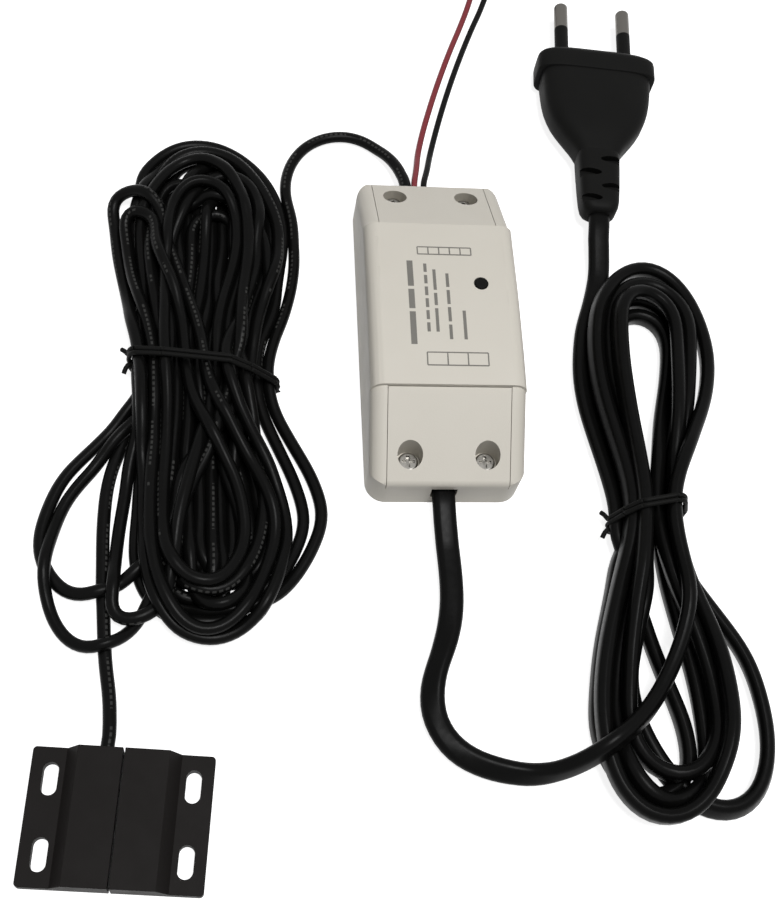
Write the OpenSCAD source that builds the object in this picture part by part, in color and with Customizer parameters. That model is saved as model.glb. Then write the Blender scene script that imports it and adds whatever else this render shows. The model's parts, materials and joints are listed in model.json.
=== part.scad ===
// Garage door controller: relay box, corded door contact, corded mains plug and two output wires.
// The box lies on its back with its centre at the origin, turned a little against the door contact.

/* [Box] */
// Length of the box
box_l = 88; // [84:0.5:96]
// Width of the box
box_w = 38.5; // [37.5:0.5:44]
// Height of the raised middle
box_h = 24; // [23.5:0.5:28]
// Radius of the upright corners
corner_r = 5; // [3:0.5:6]
// Radius along the upper long edges
edge_r = 3.5; // [2.5:0.5:4]
// Wall thickness
wall = 2; // [1.5:0.1:2.2]
// Height of the lower tray
tray_h = 8; // [7.5:0.1:8.5]
// Length of an end cover
cover_l = 21; // [20:0.5:22]
// Fall of the raised top from its middle to its ends
arch_rise = 1; // [0.5:0.1:1.5]
// Step from the raised top down to the end covers
cover_step = 1; // [0.6:0.1:1.4]
// Height of the covers at the ends of the box
end_h = 10.5; // [10:0.1:11.5]
// Radius between a cover's slope and its end face
end_r = 2; // [1:0.5:3]
// Width of a side rail beside an end cover
rail_w = 4.2; // [4:0.05:4.5]
// Joint gap round the covers
joint_gap = 0.15; // [0.1:0.05:0.3]
// Turn of the box about the vertical
box_turn = 4.8; // [3:0.2:6]

/* [Cover screws] */
// Distance from the screws to the end of the box
screw_end = 6.5; // [6.3:0.1:7]
// Distance from a screw well's wall to the side of its cover
well_side = 1.75; // [1.5:0.05:2]
// Diameter of the screw heads
screw_head_d = 5; // [4.6:0.1:5.2]
// Height of the screw heads
screw_head_h = 1.7; // [1.4:0.1:2]
// Diameter of the screw shanks
screw_d = 2.5; // [2:0.1:2.8]
// Length of the screw shanks
screw_l = 4.8; // [4.2:0.1:5]
// Diameter of the wells that the heads sit in
well_d = 6.2; // [5.8:0.1:6.4]
// Wall round a screw well
well_wall = 0.7; // [0.6:0.1:0.8]
// Height of the seat under a screw head
screw_seat_z = 8.4; // [8.2:0.1:8.8]
// Height of the tray's screw posts
post_h = 6.4; // [6:0.1:6.8]
// Clearance round a screw shank in the tray
shank_clear = 0.05; // [0.03:0.01:0.1]

/* [Circuit] */
// Clearance between the circuit board and the side walls
board_gap = 0.45; // [0.3:0.05:0.8]
// Clearance between the circuit board and the screw wells
board_end_gap = 2.7; // [2:0.1:3]
// Thickness of the circuit board
board_t = 1.6; // [1:0.1:2]
// Height of the board's underside
board_z = 4.4; // [4:0.1:4.8]
// Distance from the locating pins to the board's edges
pin_inset = 2.8; // [2.4:0.1:3.2]
// Diameter of the locating pins
pin_d = 1.8; // [1.4:0.1:2]
// Width of the relay
relay_w = 15; // [14:0.5:15.5]
// Length of the relay
relay_l = 19; // [17:0.5:19.5]
// Clearance between the relay and the lid
lid_gap = 0.2; // [0.2:0.1:2]
// Side of the transformer's core
core_side = 12.6; // [11:0.2:13]
// Height of the transformer
core_h = 11; // [9:0.5:12]
// Diameter of the bulk capacitor
can_d = 8; // [6:0.5:9]
// Height of the bulk capacitor
can_h = 11.5; // [9:0.5:13]
// Spacing of the input terminal's poles
input_pitch = 5; // [4.6:0.1:5.4]
// Spacing of the output terminal's poles
output_pitch = 3.8; // [3.6:0.1:4]
// Depth of both terminal blocks along the box
terminal_l = 8.6; // [8:0.2:9]
// Clearance between the terminal blocks and the covers
terminal_gap = 0.6; // [0.4:0.1:1.5]

/* [Button] */
// Diameter of the button stem
button_d = 3.3; // [3:0.1:4]
// Button place across the box
button_x = 9.3; // [8.8:0.1:9.6]
// Button place along the box
button_y = 5; // [4:0.1:6]
// How far the button stands above the raised top
button_proud = 0.4; // [0.3:0.1:0.8]
// Travel of the button
button_travel = 0.5; // [0.3:0.1:0.6]
// Clearance round the stem
button_clear = 0.2; // [0.15:0.05:0.3]

/* [Door contact] */
// Width of one half of the door contact
half_w = 19.7; // [19:0.1:21]
// Length of the door contact
half_l = 29.7; // [28:0.1:32]
// Height of the thick inner block
block_h = 7; // [6.6:0.1:8]
// Thickness of the slotted flange
flange_t = 3; // [2.4:0.1:3.6]
// Width of the slotted flange
flange_w = 7.4; // [7:0.1:8]
// Width of the slope between flange and block
slope_w = 2.6; // [1.5:0.1:3]
// Corner radius of the door contact
half_r = 0.9; // [0.6:0.1:1.5]
// Width of a fixing slot
slot_w = 3.4; // [3:0.1:3.8]
// Length of a fixing slot
slot_l = 7.2; // [6:0.1:8]
// Distance between the two slots of a half
slot_span = 16; // [14:0.5:17]
// Distance of the slots from the outer edge
slot_inset = 4.4; // [4:0.1:4.6]
// Gap between the two halves when the door is shut
half_gap = 0.4; // [0.3:0.1:2]
// Length of the pocket in a half
pocket_l = 23; // [21:0.5:24]
// Width of the pocket in a half
pocket_w = 5.6; // [5:0.1:6]
// Depth of the pocket in a half
pocket_h = 5.2; // [4.8:0.1:5.4]
// Thickness of the potting that closes a pocket
potting_t = 1.4; // [1:0.1:1.5]
// Length of the reed tube
reed_l = 14; // [10:0.5:16]
// Diameter of the reed tube
reed_d = 2.2; // [1.8:0.1:2.6]

/* [Cords] */
// Width of the flat mains cord
mains_w = 5.8; // [5.2:0.1:6]
// Thickness of the flat mains cord
mains_t = 3.5; // [3.2:0.1:3.6]
// Diameter of the door contact's cord
sensor_d = 3; // [2.6:0.1:3.1]
// Diameter of the output wires
wire_d = 1.5; // [1.2:0.1:1.6]
// Height at which the mains cord leaves the box
mains_exit_z = 5.3; // [5.2:0.1:5.6]
// Height at which the other cords leave the box
wire_exit_z = 5.6; // [5.4:0.1:5.8]
// Clearance round the cords in the wall of the box
exit_clear = 0.3; // [0.2:0.05:0.4]
// Loops of the door contact cord's hank
sensor_loops = 9; // [9:2:9]
// Loops of the mains cord's hank
mains_loops = 4; // [4:2:4]
// Loops of each output wire's coil
wire_loops = 4; // [4:2:4]

/* [Plug] */
// Width of the plug across its head
plug_w = 35.3; // [33:0.1:37]
// Thickness of the plug
plug_t = 13.6; // [12:0.2:14]
// Distance between the plug's pins
plug_pin_span = 18.6; // [17.5:0.1:19.2]
// Diameter of the plug's pins
plug_pin_d = 4; // [3.8:0.02:4.06]
// Length of the plug's pins
plug_pin_l = 19; // [18:0.5:20]
// Length of the insulating sleeves
sleeve_l = 10; // [9:0.5:11]
// Diameter of the bare core under a sleeve
sleeve_core_d = 3; // [2.6:0.1:3.2]
// Depth of the pins inside the plug
pin_root_l = 6; // [4:0.5:8]
// Length of the plug's body
plug_body_l = 35.5; // [34:0.5:38]
// Length of the plug's strain relief
relief_l = 20; // [20:0.5:24]
// Width of the strain relief
relief_w = 11.6; // [10:0.2:13]
// Thickness of the strain relief
relief_t = 9; // [8:0.2:10]

/* [Hidden] */
$fn = 48;

ivory = [0.86, 0.84, 0.79];
soft_black = [0.05, 0.05, 0.05];
steel = [0.72, 0.72, 0.70];
cut = 1;
big = 200;

// Box
board_top = board_z + board_t;
raised_end_z = box_h - arch_rise;
cover_top_z = raised_end_z - cover_step;
raised_l = box_l - 2 * cover_l;
slope_angle = atan((cover_top_z - end_h) / cover_l);
arch_r = (pow(raised_l / 2, 2) + pow(arch_rise, 2)) / (2 * arch_rise);
raised_w = box_w - 0.04;
rail_overlap = 0.5;
tray_floor = wall;
well_r = well_d / 2;
well_outer_r = well_r + well_wall;
cover_w = box_w - 2 * rail_w;
screw_span_x = cover_w - 2 * (well_outer_r + well_side);
screw_span_y = box_l - 2 * screw_end;
between_wells = screw_span_x / 2 - well_outer_r;
board_w = box_w - 2 * wall - 2 * board_gap;
board_l = screw_span_y - 2 * (well_outer_r + board_end_gap);
pin_span_x = board_w - 2 * pin_inset;
pin_span_y = board_l - 2 * pin_inset;
pin_clear = 0.1;
part_gap = 0.15;
relay_h = raised_end_z - wall - board_top - lid_gap;

// Terminals and their places
edge_gap = 0.6;
terminal_edge = board_l / 2 - edge_gap;
terminal_inner = terminal_edge - terminal_l;
input_y = -terminal_edge + terminal_l / 2;
output_y = terminal_edge - terminal_l / 2;
cover_underside = cover_top_z - (terminal_edge - raised_l / 2) * tan(slope_angle) - wall / cos(slope_angle);
terminal_h = cover_underside - board_top - terminal_gap;
input_w = 2 * input_pitch + 0.4;
output_w = 4 * output_pitch + 0.4;
entry_z = board_top + 3;
entry_depth = 5;
core_d = 2.2;
thin_core_d = 1.1;
input_poles = [-input_pitch / 2, input_pitch / 2];
output_poles = [for (k = [-1.5:1:1.5]) k * output_pitch];

// Cord exits across the box
mains_x = -0.5;
sensor_x = 0.6 - between_wells;
red_x = sensor_x + 2.5;
black_x = sensor_x + 5.1;
jacket_end = box_l / 2 - wall - 0.8;

// Door contact: the seam between its halves and the middle of its length
seam_x = -66;
contact_y = -125.7;
sensor_entry_x = 4;
sensor_entry_z = 3.2;
sensor_entry_l = 3;

// Plug: middle of its front face
plug_x = 44.5;
plug_front_y = 97.5;
plug_z = plug_t / 2;
plug_back_y = plug_front_y - plug_body_l;
relief_end_y = plug_back_y - relief_l;

// Hanks: middle of the waist and turn about the vertical
sensor_hank_at = [-58.4, -15.5];
sensor_hank_turn = 7;
mains_hank_at = [54.5, -46];
mains_hank_turn = -1.5;
sensor_layer = sensor_d + 0.6;
mains_layer = mains_w + 0.9;
sensor_lift = 4.5;
mains_lift = 6.2;
sensor_step = 3.65;
mains_step = 4.1;
sensor_waist = 1.9 + sensor_step * sensor_loops / 2;
mains_waist = 2 + mains_step * mains_loops / 2;
tie_clear = 0.4;
tie_t = 0.8;
tie_w = 3;

// Wire coils: middles, outer radius at the wire's centre and step between turns
red_coil_at = [1, 134.5];
black_coil_at = [24.5, 134.5];
coil_r = 9.5;
coil_step = 2;
coil_layer = wire_d + 0.5;
coil_z = wire_d / 2 + 0.6;
stripped_l = 6;
stripped_d = 0.8;

function smooth(t) = let (c = min(1, max(0, t))) c * c * (3 - 2 * c);
function turned(p, a) = [p[0] * cos(a) - p[1] * sin(a), p[0] * sin(a) + p[1] * cos(a), p[2]];
function in_row(p) = turned(p, box_turn);
function in_hank(p, at, a) = turned(p, a) + [at[0], at[1], 0];

// Tubes: a ring of points round each route point, joined by triangles
function tangent(r, i) =
    let (a = r[max(0, i - 1)], b = r[min(len(r) - 1, i + 1)], v = b - a)
    v / norm(v);
function ring(r, i, w, t, roll, sides) =
    let (
        along = tangent(r, i),
        flat = cross(along, [0, 0, 1]),
        side = flat / norm(flat),
        up = cross(side, along)
    )
    [for (k = [0:sides - 1])
        let (
            a = 360 * (k + 0.5) / sides,
            x = w / 2 * cos(a),
            y = t / 2 * sin(a)
        )
        r[i] + side * (x * cos(roll) - y * sin(roll)) + up * (x * sin(roll) + y * cos(roll))];

// A flat tube turns about its route between two shares of its length
module tube(route, w, t, sides, roll_start = 0, roll_end = 0, roll_from = 0, roll_to = 1) {
    last = len(route) - 1;
    points = [for (i = [0:last])
        let (share = smooth((i / last - roll_from) / (roll_to - roll_from)))
        each ring(route, i, w, t, roll_start + (roll_end - roll_start) * share, sides)];
    skin = [for (i = [0:last - 1], k = [0:sides - 1])
        let (
            n = (k + 1) % sides,
            a = i * sides + k,
            b = i * sides + n,
            c = a + sides,
            d = b + sides
        )
        each [[a, b, d], [a, d, c]]];
    caps = [for (k = [1:sides - 2])
        each [[0, k + 1, k], [last * sides, last * sides + k, last * sides + k + 1]]];
    polyhedron(points = points, faces = concat(skin, caps));
}

// Hanks: a loop pinched at its waist, stepping in and out again in two layers.
// u counts loops from the right side of the waist; dir is 1 anticlockwise, -1 clockwise.
// Steps in from the outermost loop go in and out again (sensor) or out and in again (mains).
function inset(u, loops) = min(u, loops - u);
function outset(u, loops) = loops / 2 - inset(u, loops);
function hank_lift(x, y, side, left) =
    max(1 - smooth((abs(y) - 36) / 18), y * side > 0 ? smooth((left[0] - x) / left[1]) : 0);
function hank_point(u, s, loops, dir, waist, step, up, down, left, base, lift, layer) =
    let (
        a = 360 * u,
        c = cos(a),
        t = dir * sin(a),
        lobe = t > 0 ? up : down,
        lobe_w = lobe[0] - lobe[1] * s,
        lobe_h = lobe[2] - lobe[3] * s,
        waist_w = waist - step * s,
        round_off = 2 * lobe_h / lobe_w,
        half = waist_w + (lobe_w - waist_w) * smooth(abs(t) / 0.6),
        x = sign(c) * half * sqrt(max(0, 1 - pow(abs(t), round_off))),
        y = t * lobe_h,
        upper = 1 - smooth((u - loops / 2 + 0.25) / 0.5)
    )
    [x, y, base + lift * hank_lift(x, y, dir, left) + layer * upper];
// Lobes: half width, its step per loop, height from the waist and its step per loop
sensor_up = [23, 3.7, 66, 4.6];
sensor_down = [30.5, 4.4, 70, 5];
mains_up = [17.2, 4.1, 73, 6];
mains_down = [16, 4.1, 74, 6];
sensor_left = [10, 24];
mains_left = [8, 14];
loop_rings = 24;
loop_end = 1 / 8;
function sensor_loop(u) =
    hank_point(u, inset(u, sensor_loops), sensor_loops, -1, sensor_waist, sensor_step,
        sensor_up, sensor_down, sensor_left, sensor_d / 2, sensor_lift, sensor_layer);
function mains_loop(u) =
    hank_point(u, outset(u, mains_loops), mains_loops, 1, mains_waist, mains_step,
        mains_up, mains_down, mains_left, mains_w / 2, mains_lift, mains_layer);
sensor_turns = [for (i = [0:loop_rings * (sensor_loops - loop_end)]) sensor_loop(i / loop_rings)];
mains_turns = [for (i = [0:loop_rings * (mains_loops - loop_end)]) mains_loop(i / loop_rings)];
sensor_hank_start = sensor_turns[0] + [0, sensor_d, 0];
sensor_hank_end = sensor_turns[len(sensor_turns) - 1] - [0, sensor_d, 0];
mains_hank_start = mains_turns[0] - [0, mains_w, 0];
mains_hank_end = mains_turns[len(mains_turns) - 1] + [0, mains_w, 0];
function sensor_in_row(p) = in_hank(p, sensor_hank_at, sensor_hank_turn);
function mains_in_row(p) = in_hank(p, mains_hank_at, mains_hank_turn);
sensor_hank_route =
    [for (p = concat([sensor_hank_start], sensor_turns, [sensor_hank_end])) sensor_in_row(p)];
mains_hank_route =
    [for (p = concat([mains_hank_start], mains_turns, [mains_hank_end])) mains_in_row(p)];

// Wire coils: dir 1 runs anticlockwise from the right side, -1 clockwise from the left
function coil_point(u, at, dir) =
    let (
        r = coil_r - coil_step * inset(u, wire_loops),
        upper = smooth((u - wire_loops / 2 + 0.25) / 0.5)
    )
    [at[0] + dir * r * cos(360 * u), at[1] + r * sin(360 * u), coil_z + coil_layer * upper];
function coil_route(at, dir) =
    let (turns = [for (i = [0:loop_rings * wire_loops]) coil_point(i / loop_rings, at, dir)])
    concat([turns[0] - [0, wire_d, 0]], turns, [turns[len(turns) - 1] + [0, 4 * wire_d, 0]]);
red_coil_route = coil_route(red_coil_at, 1);
black_coil_route = coil_route(black_coil_at, -1);

// Least gap of a wound tube to itself, between rings more than a third of a loop apart,
// with heights scaled so that a flat cord counts as round
function self_gap(r, w, h) =
    min([for (i = [0:len(r) - 1], j = [i + 9:1:len(r) - 1])
        let (d = r[i] - r[j]) norm([d[0], d[1], d[2] * w / h]) - w]);
echo(sensor_hank_gap = self_gap(sensor_hank_route, sensor_d, sensor_d));
echo(mains_hank_gap = self_gap(mains_hank_route, mains_t, mains_w));
echo(red_coil_gap = self_gap(red_coil_route, wire_d, wire_d));

// Routes of the free cords, in the row's frame
sensor_lead_route = concat(
    [for (y = [jacket_end, box_l / 2, box_l / 2 + 3]) in_row([sensor_x, y, wire_exit_z])],
    [
        [-10.5, 52, 4.5], [-13.5, 57.5, 3], [-18, 61.8, 2], [-23.5, 64.2, 1.6], [-29, 64, 1.6],
        [-34, 61.8, 1.8], [-38, 58, 2.2], [-40.8, 52.5, 3], [-42, 46.5, 4], [-41.8, 40, 5]
    ],
    [for (p = [[23.6, 44, 5.4], [24.6, 34, 6.4], [23, 24, 8], [20, 14, 9.4], [18.4, 8, 10.2]])
        sensor_in_row(p)],
    [sensor_in_row(sensor_hank_start + [0, 1, 0]), sensor_in_row(sensor_hank_start)]
);
sensor_tail_route = concat(
    [sensor_in_row(sensor_hank_end), sensor_in_row(sensor_hank_end - [0, 1, 0])],
    [for (p = [
        [22.8, 34, 1.5], [21.6, 27, 1.5], [18, 20, 1.5], [12, 13, 1.5], [4, 6, 1.5], [-5, -1, 1.5],
        [-13, -9, 1.5], [-19.5, -18, 1.5], [-23, -28, 1.5], [-24.2, -40, 1.5], [-24.2, -52, 1.5],
        [-24, -64, 1.5]]) sensor_in_row(p)],
    [[-73, -91, 1.6], [-71, -99, 2.4]],
    [for (y = [4, 1, -sensor_entry_l + 0.2])
        [seam_x - sensor_entry_x, contact_y + half_l / 2 + y, sensor_entry_z]]
);
mains_lead_route = concat(
    [for (y = [-jacket_end, -box_l / 2, -box_l / 2 - 3]) in_row([mains_x, y, mains_exit_z])],
    [
        [4.4, -54, 3.4], [5.8, -64, 2], [6.2, -73, 1.8], [4.6, -82, 1.8], [2, -90, 1.8],
        [2.4, -99, 1.8], [8, -106.5, 1.8], [17, -109.8, 2.2], [26.5, -110.5, 6],
        [35, -108.5, 12.4], [43, -103.5, 16.6], [50.5, -96, 17.2], [55, -87, 16.8], [57, -77, 16],
        [57.2, -66, 15.4]
    ],
    [mains_in_row(mains_hank_start - [0, 5, 0]), mains_in_row(mains_hank_start)]
);
mains_tail_route = concat(
    [mains_in_row(mains_hank_end), mains_in_row(mains_hank_end + [0, 1, 0])],
    [for (p = [
        [7, -31, 4.4], [5.6, -23, 3], [3.6, -15, 2.1], [1, -6, 1.8], [-1.8, 3, 1.8],
        [-5, 12, 1.8], [-8.4, 22, 1.8], [-10.6, 36, 1.8], [-11.2, 50, 1.8], [-11.2, 62, 2.2],
        [-10.8, 72, 3.2]]) mains_in_row(p)],
    [[plug_x, relief_end_y - 8, plug_z - 1.4], [plug_x, relief_end_y - 2, plug_z],
        [plug_x, relief_end_y, plug_z]]
);
red_wire_route = concat(
    [for (p = [
        [output_poles[2], terminal_edge - 3.5, entry_z], [output_poles[2], terminal_edge + 0.6, entry_z],
        [output_poles[2] - 0.8, jacket_end - 7.6, 8.4], [red_x + 2, jacket_end - 4.2, 7],
        [red_x + 0.4, jacket_end - 0.7, 5.9]]) in_row(p)],
    [for (y = [0, 4]) in_row([red_x, box_l / 2 + y, wire_exit_z])],
    [
        [-6, 54, 4], [-5.4, 61, 1.8], [-4.2, 69, 0.9], [-2.6, 77, 0.8], [-0.8, 85, 0.8], [1.2, 93, 0.8],
        [3.4, 101, 0.8], [5.8, 109, 0.8], [8, 117, 0.8], [9.8, 125, 1]
    ],
    [[coil_r + red_coil_at[0], red_coil_at[1] - 4 * wire_d, coil_z],
        [coil_r + red_coil_at[0], red_coil_at[1] - wire_d, coil_z]]
);
black_wire_route = concat(
    [for (p = [
        [output_poles[3], terminal_edge - 3.5, entry_z], [output_poles[3], terminal_edge + 0.6, entry_z],
        [output_poles[3] - 0.9, jacket_end - 7.6, 8.4], [black_x + 2.2, jacket_end - 4.2, 7],
        [black_x + 0.4, jacket_end - 0.7, 5.9]]) in_row(p)],
    [for (y = [0, 4]) in_row([black_x, box_l / 2 + y, wire_exit_z])],
    [
        [-3, 54, 4], [-2, 61, 1.8], [-0.6, 69, 0.9], [1, 77, 0.8], [2.8, 85, 0.8], [4.8, 93, 0.8],
        [7, 101, 0.8], [9.4, 109, 0.8], [12, 117, 0.8], [14.2, 125, 1]
    ],
    [[black_coil_at[0] - coil_r, black_coil_at[1] - 4 * wire_d, coil_z],
        [black_coil_at[0] - coil_r, black_coil_at[1] - wire_d, coil_z]]
);

// Outlines made of squares and circles, so that every round stays a true arc
module round_rect(w, l, r) {
    square([w - 2 * r, l], center = true);
    square([w, l - 2 * r], center = true);
    for (x = [-1, 1], y = [-1, 1])
        translate([x * (w / 2 - r), y * (l / 2 - r)]) circle(r);
}
module round_top(w, h, r) {
    translate([-w / 2, -h]) square([w, h - r]);
    translate([-w / 2 + r, -h]) square([w - 2 * r, h]);
    for (x = [-1, 1]) translate([x * (w / 2 - r), -r]) circle(r);
}
module slot_outline(w, l) {
    square([w, l - w], center = true);
    for (y = [-1, 1]) translate([0, y * (l - w) / 2]) circle(w / 2);
}

// Block of the box's plan, drawn in by a wall where it is hollow
module plan_block(inside, low, high) {
    translate([0, 0, low])
        linear_extrude(high - low)
            round_rect(box_w - 2 * inside, box_l - 2 * inside, corner_r - inside);
}
// Everything under the slope of one end, with the rounded long edges; end is 1 or -1 along Y
module slope_block(end, inside) {
    translate([0, end * raised_l / 2, cover_top_z])
        rotate([-end * slope_angle, 0, 0])
            translate([0, 0, -inside])
                rotate([90, 0, 0])
                    linear_extrude(big, center = true)
                        round_top(box_w - 2 * inside, 2 * box_h, edge_r - inside);
}
// Rounds the edge between slope and end face
module end_round(end) {
    lean = tan(slope_angle / 2 + 45);
    back = end_r / lean;
    rotate([90, 0, 90])
        linear_extrude(box_w + 2 * cut, center = true) {
            polygon([
                [0, -cut], [end * box_l / 2, -cut], [end * box_l / 2, end_h - back],
                [end * (box_l / 2 - back * cos(slope_angle)), end_h + back * sin(slope_angle)],
                [end * raised_l / 2, cover_top_z], [0, cover_top_z]
            ]);
            translate([end * (box_l / 2 - end_r), end_h - back]) circle(end_r);
        }
}
module end_block(end, inside, low) {
    intersection() {
        plan_block(inside, low, box_h);
        slope_block(end, inside);
    }
}
// Box cut to one end, between two heights and two distances from the middle
module end_zone(end, w, from, low) {
    translate([-w / 2, end > 0 ? from : -box_l / 2 - cut, low])
        cube([w, box_l / 2 + cut - from, box_h]);
}

module base_tray() {
    color(ivory) rotate(box_turn) difference() {
        union() {
            difference() {
                plan_block(0, 0, tray_h);
                plan_block(wall, tray_floor, box_h);
            }
            for (x = [-1, 1], y = [-1, 1]) {
                translate([x * screw_span_x / 2, y * screw_span_y / 2, tray_floor - cut / 2])
                    cylinder(r = well_outer_r - 0.6, h = post_h - tray_floor + cut / 2);
                translate([x * pin_span_x / 2, y * pin_span_y / 2, tray_floor - cut / 2])
                    cylinder(d = 2 * pin_d, h = board_z - tray_floor + cut / 2);
                translate([x * pin_span_x / 2, y * pin_span_y / 2, tray_floor])
                    cylinder(d = pin_d, h = board_top + 0.6 - tray_floor);
            }
        }
        for (x = [-1, 1], y = [-1, 1])
            translate([x * screw_span_x / 2, y * screw_span_y / 2, tray_floor + 0.2])
                cylinder(d = screw_d + 2 * shank_clear, h = box_h);
        mains_notch();
        wire_notch();
    }
}
module mains_notch() {
    w = mains_w + 2 * exit_clear;
    low = mains_exit_z - mains_t / 2 - exit_clear;
    translate([mains_x - w / 2, -box_l / 2 - cut, low])
        cube([w, wall + 2 * cut, box_h]);
}
module wire_notch() {
    left = sensor_x - sensor_d / 2 - exit_clear;
    right = black_x + wire_d / 2 + exit_clear;
    low = wire_exit_z - sensor_d / 2 - exit_clear;
    translate([left, box_l / 2 - wall - cut, low])
        cube([right - left, wall + 2 * cut, box_h]);
}

// Raised middle, swept along the arch with its rounded long edges
module arched_top() {
    sweep = 2 * asin(raised_l / 2 / (arch_r - box_h)) + 1;
    translate([0, 0, box_h - arch_r])
        rotate([0, 90, 0])
            rotate([0, 0, 180 - sweep / 2])
                rotate_extrude(angle = sweep, $fn = 720)
                    translate([arch_r, 0]) rotate(-90) round_top(raised_w, box_h, edge_r);
}
module raised_middle() {
    difference() {
        intersection() {
            arched_top();
            translate([-box_w, -raised_l / 2, tray_h]) cube([2 * box_w, raised_l, box_h]);
        }
        translate([0, 0, raised_end_z - wall])
            rotate([90, 0, 0])
                linear_extrude(raised_l + cut, center = true)
                    round_top(raised_w - 2 * wall, box_h, edge_r - wall);
        translate([button_x, button_y, tray_h])
            cylinder(d = button_d + 2 * button_clear, h = box_h);
    }
}
// Side rails beside one end cover
module side_rails(end) {
    difference() {
        intersection() {
            end_block(end, 0, tray_h);
            end_round(end);
            end_zone(end, box_w + 2 * cut, raised_l / 2 - rail_overlap, tray_h);
        }
        end_block(end, wall, -cut);
        end_zone(end, cover_w + 2 * joint_gap, raised_l / 2 - cut, -cut);
    }
}
module top_shell() {
    color(ivory) rotate(box_turn) {
        raised_middle();
        side_rails(-1);
        side_rails(1);
    }
}

module end_cover(end) {
    color(ivory) rotate(box_turn) difference() {
        union() {
            difference() {
                cover_outside(end);
                end_block(end, wall, -cut);
            }
            intersection() {
                cover_outside(end, post_h);
                for (x = [-1, 1])
                    translate([x * screw_span_x / 2, end * screw_span_y / 2, post_h])
                        cylinder(r = well_outer_r, h = box_h);
            }
        }
        for (x = [-1, 1])
            translate([x * screw_span_x / 2, end * screw_span_y / 2, 0]) {
                translate([0, 0, screw_seat_z]) cylinder(r = well_r, h = box_h);
                cylinder(d = screw_d + 0.4, h = box_h);
            }
    }
}
module cover_outside(end, low = tray_h) {
    intersection() {
        end_block(end, 0, low);
        end_round(end);
        end_zone(end, cover_w, raised_l / 2 + joint_gap, low);
    }
}
module input_cover() { end_cover(-1); }
module output_cover() { end_cover(1); }

// Pan-head screws with a cross recess
module cover_screws() {
    color(steel) rotate(box_turn)
        for (x = [-1, 1], y = [-1, 1])
            translate([x * screw_span_x / 2, y * screw_span_y / 2, screw_seat_z]) pan_screw();
}
module pan_screw() {
    recess_l = screw_head_d * 0.62;
    recess_w = screw_head_d * 0.17;
    crown = 0.5;
    difference() {
        union() {
            translate([0, 0, -screw_l]) cylinder(d = screw_d, h = screw_l + cut / 2);
            rotate_extrude() {
                square([screw_head_d / 2, screw_head_h - crown]);
                square([screw_head_d / 2 - crown, screw_head_h]);
                translate([screw_head_d / 2 - crown, screw_head_h - crown]) circle(crown);
            }
        }
        for (a = [0, 90])
            rotate(a)
                translate([-recess_l / 2, -recess_w / 2, screw_head_h - 1])
                    cube([recess_l, recess_w, 2]);
    }
}

module circuit_board() {
    color([0.10, 0.34, 0.20]) rotate(box_turn) translate([0, 0, board_z])
        difference() {
            linear_extrude(board_t) round_rect(board_w, board_l, 1.5);
            for (x = [-1, 1], y = [-1, 1])
                translate([x * pin_span_x / 2, y * pin_span_y / 2, -cut])
                    cylinder(d = pin_d + 2 * pin_clear, h = board_t + 2 * cut);
        }
}

// Pieces on the board, placed from its edges and terminals; each stands on the board's upper face
relay_at = [-board_w / 2 + relay_w / 2 + 1.2, terminal_inner - relay_l / 2 - 0.4];
relay_side = relay_at[0] + relay_w / 2;
radio_w = board_w / 2 - 0.2 - (relay_side + 0.6);
radio_l = 9;
radio_at = [board_w / 2 - 0.2 - radio_w / 2, terminal_inner - radio_l / 2 - 0.4];
fuse_at = [-9, -terminal_inner + 2.4];
varistor_at = [5, -terminal_inner + 2.1];
capacitor_at = [-9, -terminal_inner + 8.6];
transformer_at = [7.6, -terminal_inner + core_side / 2 + 4.4];
led_at = [button_x - 5.1, button_y];
module on_board(at) {
    rotate(box_turn) translate([at[0], at[1], board_top]) children();
}
module relay() {
    vent_d = 1.2;
    color([0.16, 0.33, 0.62]) on_board(relay_at) difference() {
        linear_extrude(relay_h) round_rect(relay_w, relay_l, 0.8);
        translate([relay_w / 2 - 2, relay_l / 2 - 2, relay_h - 0.6]) cylinder(d = vent_d, h = cut);
    }
}
module transformer() {
    flange_h = 1.6;
    coil_d = core_side - 4.4;
    color([0.85, 0.78, 0.35]) on_board(transformer_at) {
        for (z = [0, core_h - flange_h])
            translate([0, 0, z]) linear_extrude(flange_h) square(core_side - 1, center = true);
        translate([0, 0, flange_h / 2]) cylinder(d = coil_d, h = core_h - flange_h);
        for (x = [-1, 1])
            translate([x * (core_side / 2 - 1) - 1, -core_side / 4, 0])
                cube([2, core_side / 2, core_h]);
    }
}
module bulk_capacitor() {
    groove = 0.3;
    color([0.12, 0.12, 0.20]) on_board(capacitor_at) difference() {
        cylinder(d = can_d, h = can_h);
        translate([0, 0, 1.6])
            rotate_extrude()
                translate([can_d / 2, 0]) square([2 * groove, 2 * groove], center = true);
        for (a = [0, 60, 120])
            rotate(a) translate([-can_d / 2 + 1, -0.15, can_h - 0.3]) cube([can_d - 2, 0.3, cut]);
    }
}
module fuse() {
    body_l = 9;
    body_d = 3.4;
    lead_d = 0.7;
    color([0.55, 0.66, 0.52]) on_board(fuse_at) {
        translate([-body_l / 2, 0, body_d / 2]) rotate([0, 90, 0]) cylinder(d = body_d, h = body_l);
        for (x = [-1, 1]) {
            translate([x * (body_l / 2 + 0.6) - 0.6, 0, body_d / 2])
                rotate([0, 90, 0]) cylinder(d = lead_d, h = 1.2);
            translate([x * (body_l / 2 + 1), 0, 0]) cylinder(d = lead_d, h = body_d / 2 + lead_d / 2);
        }
    }
}
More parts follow.
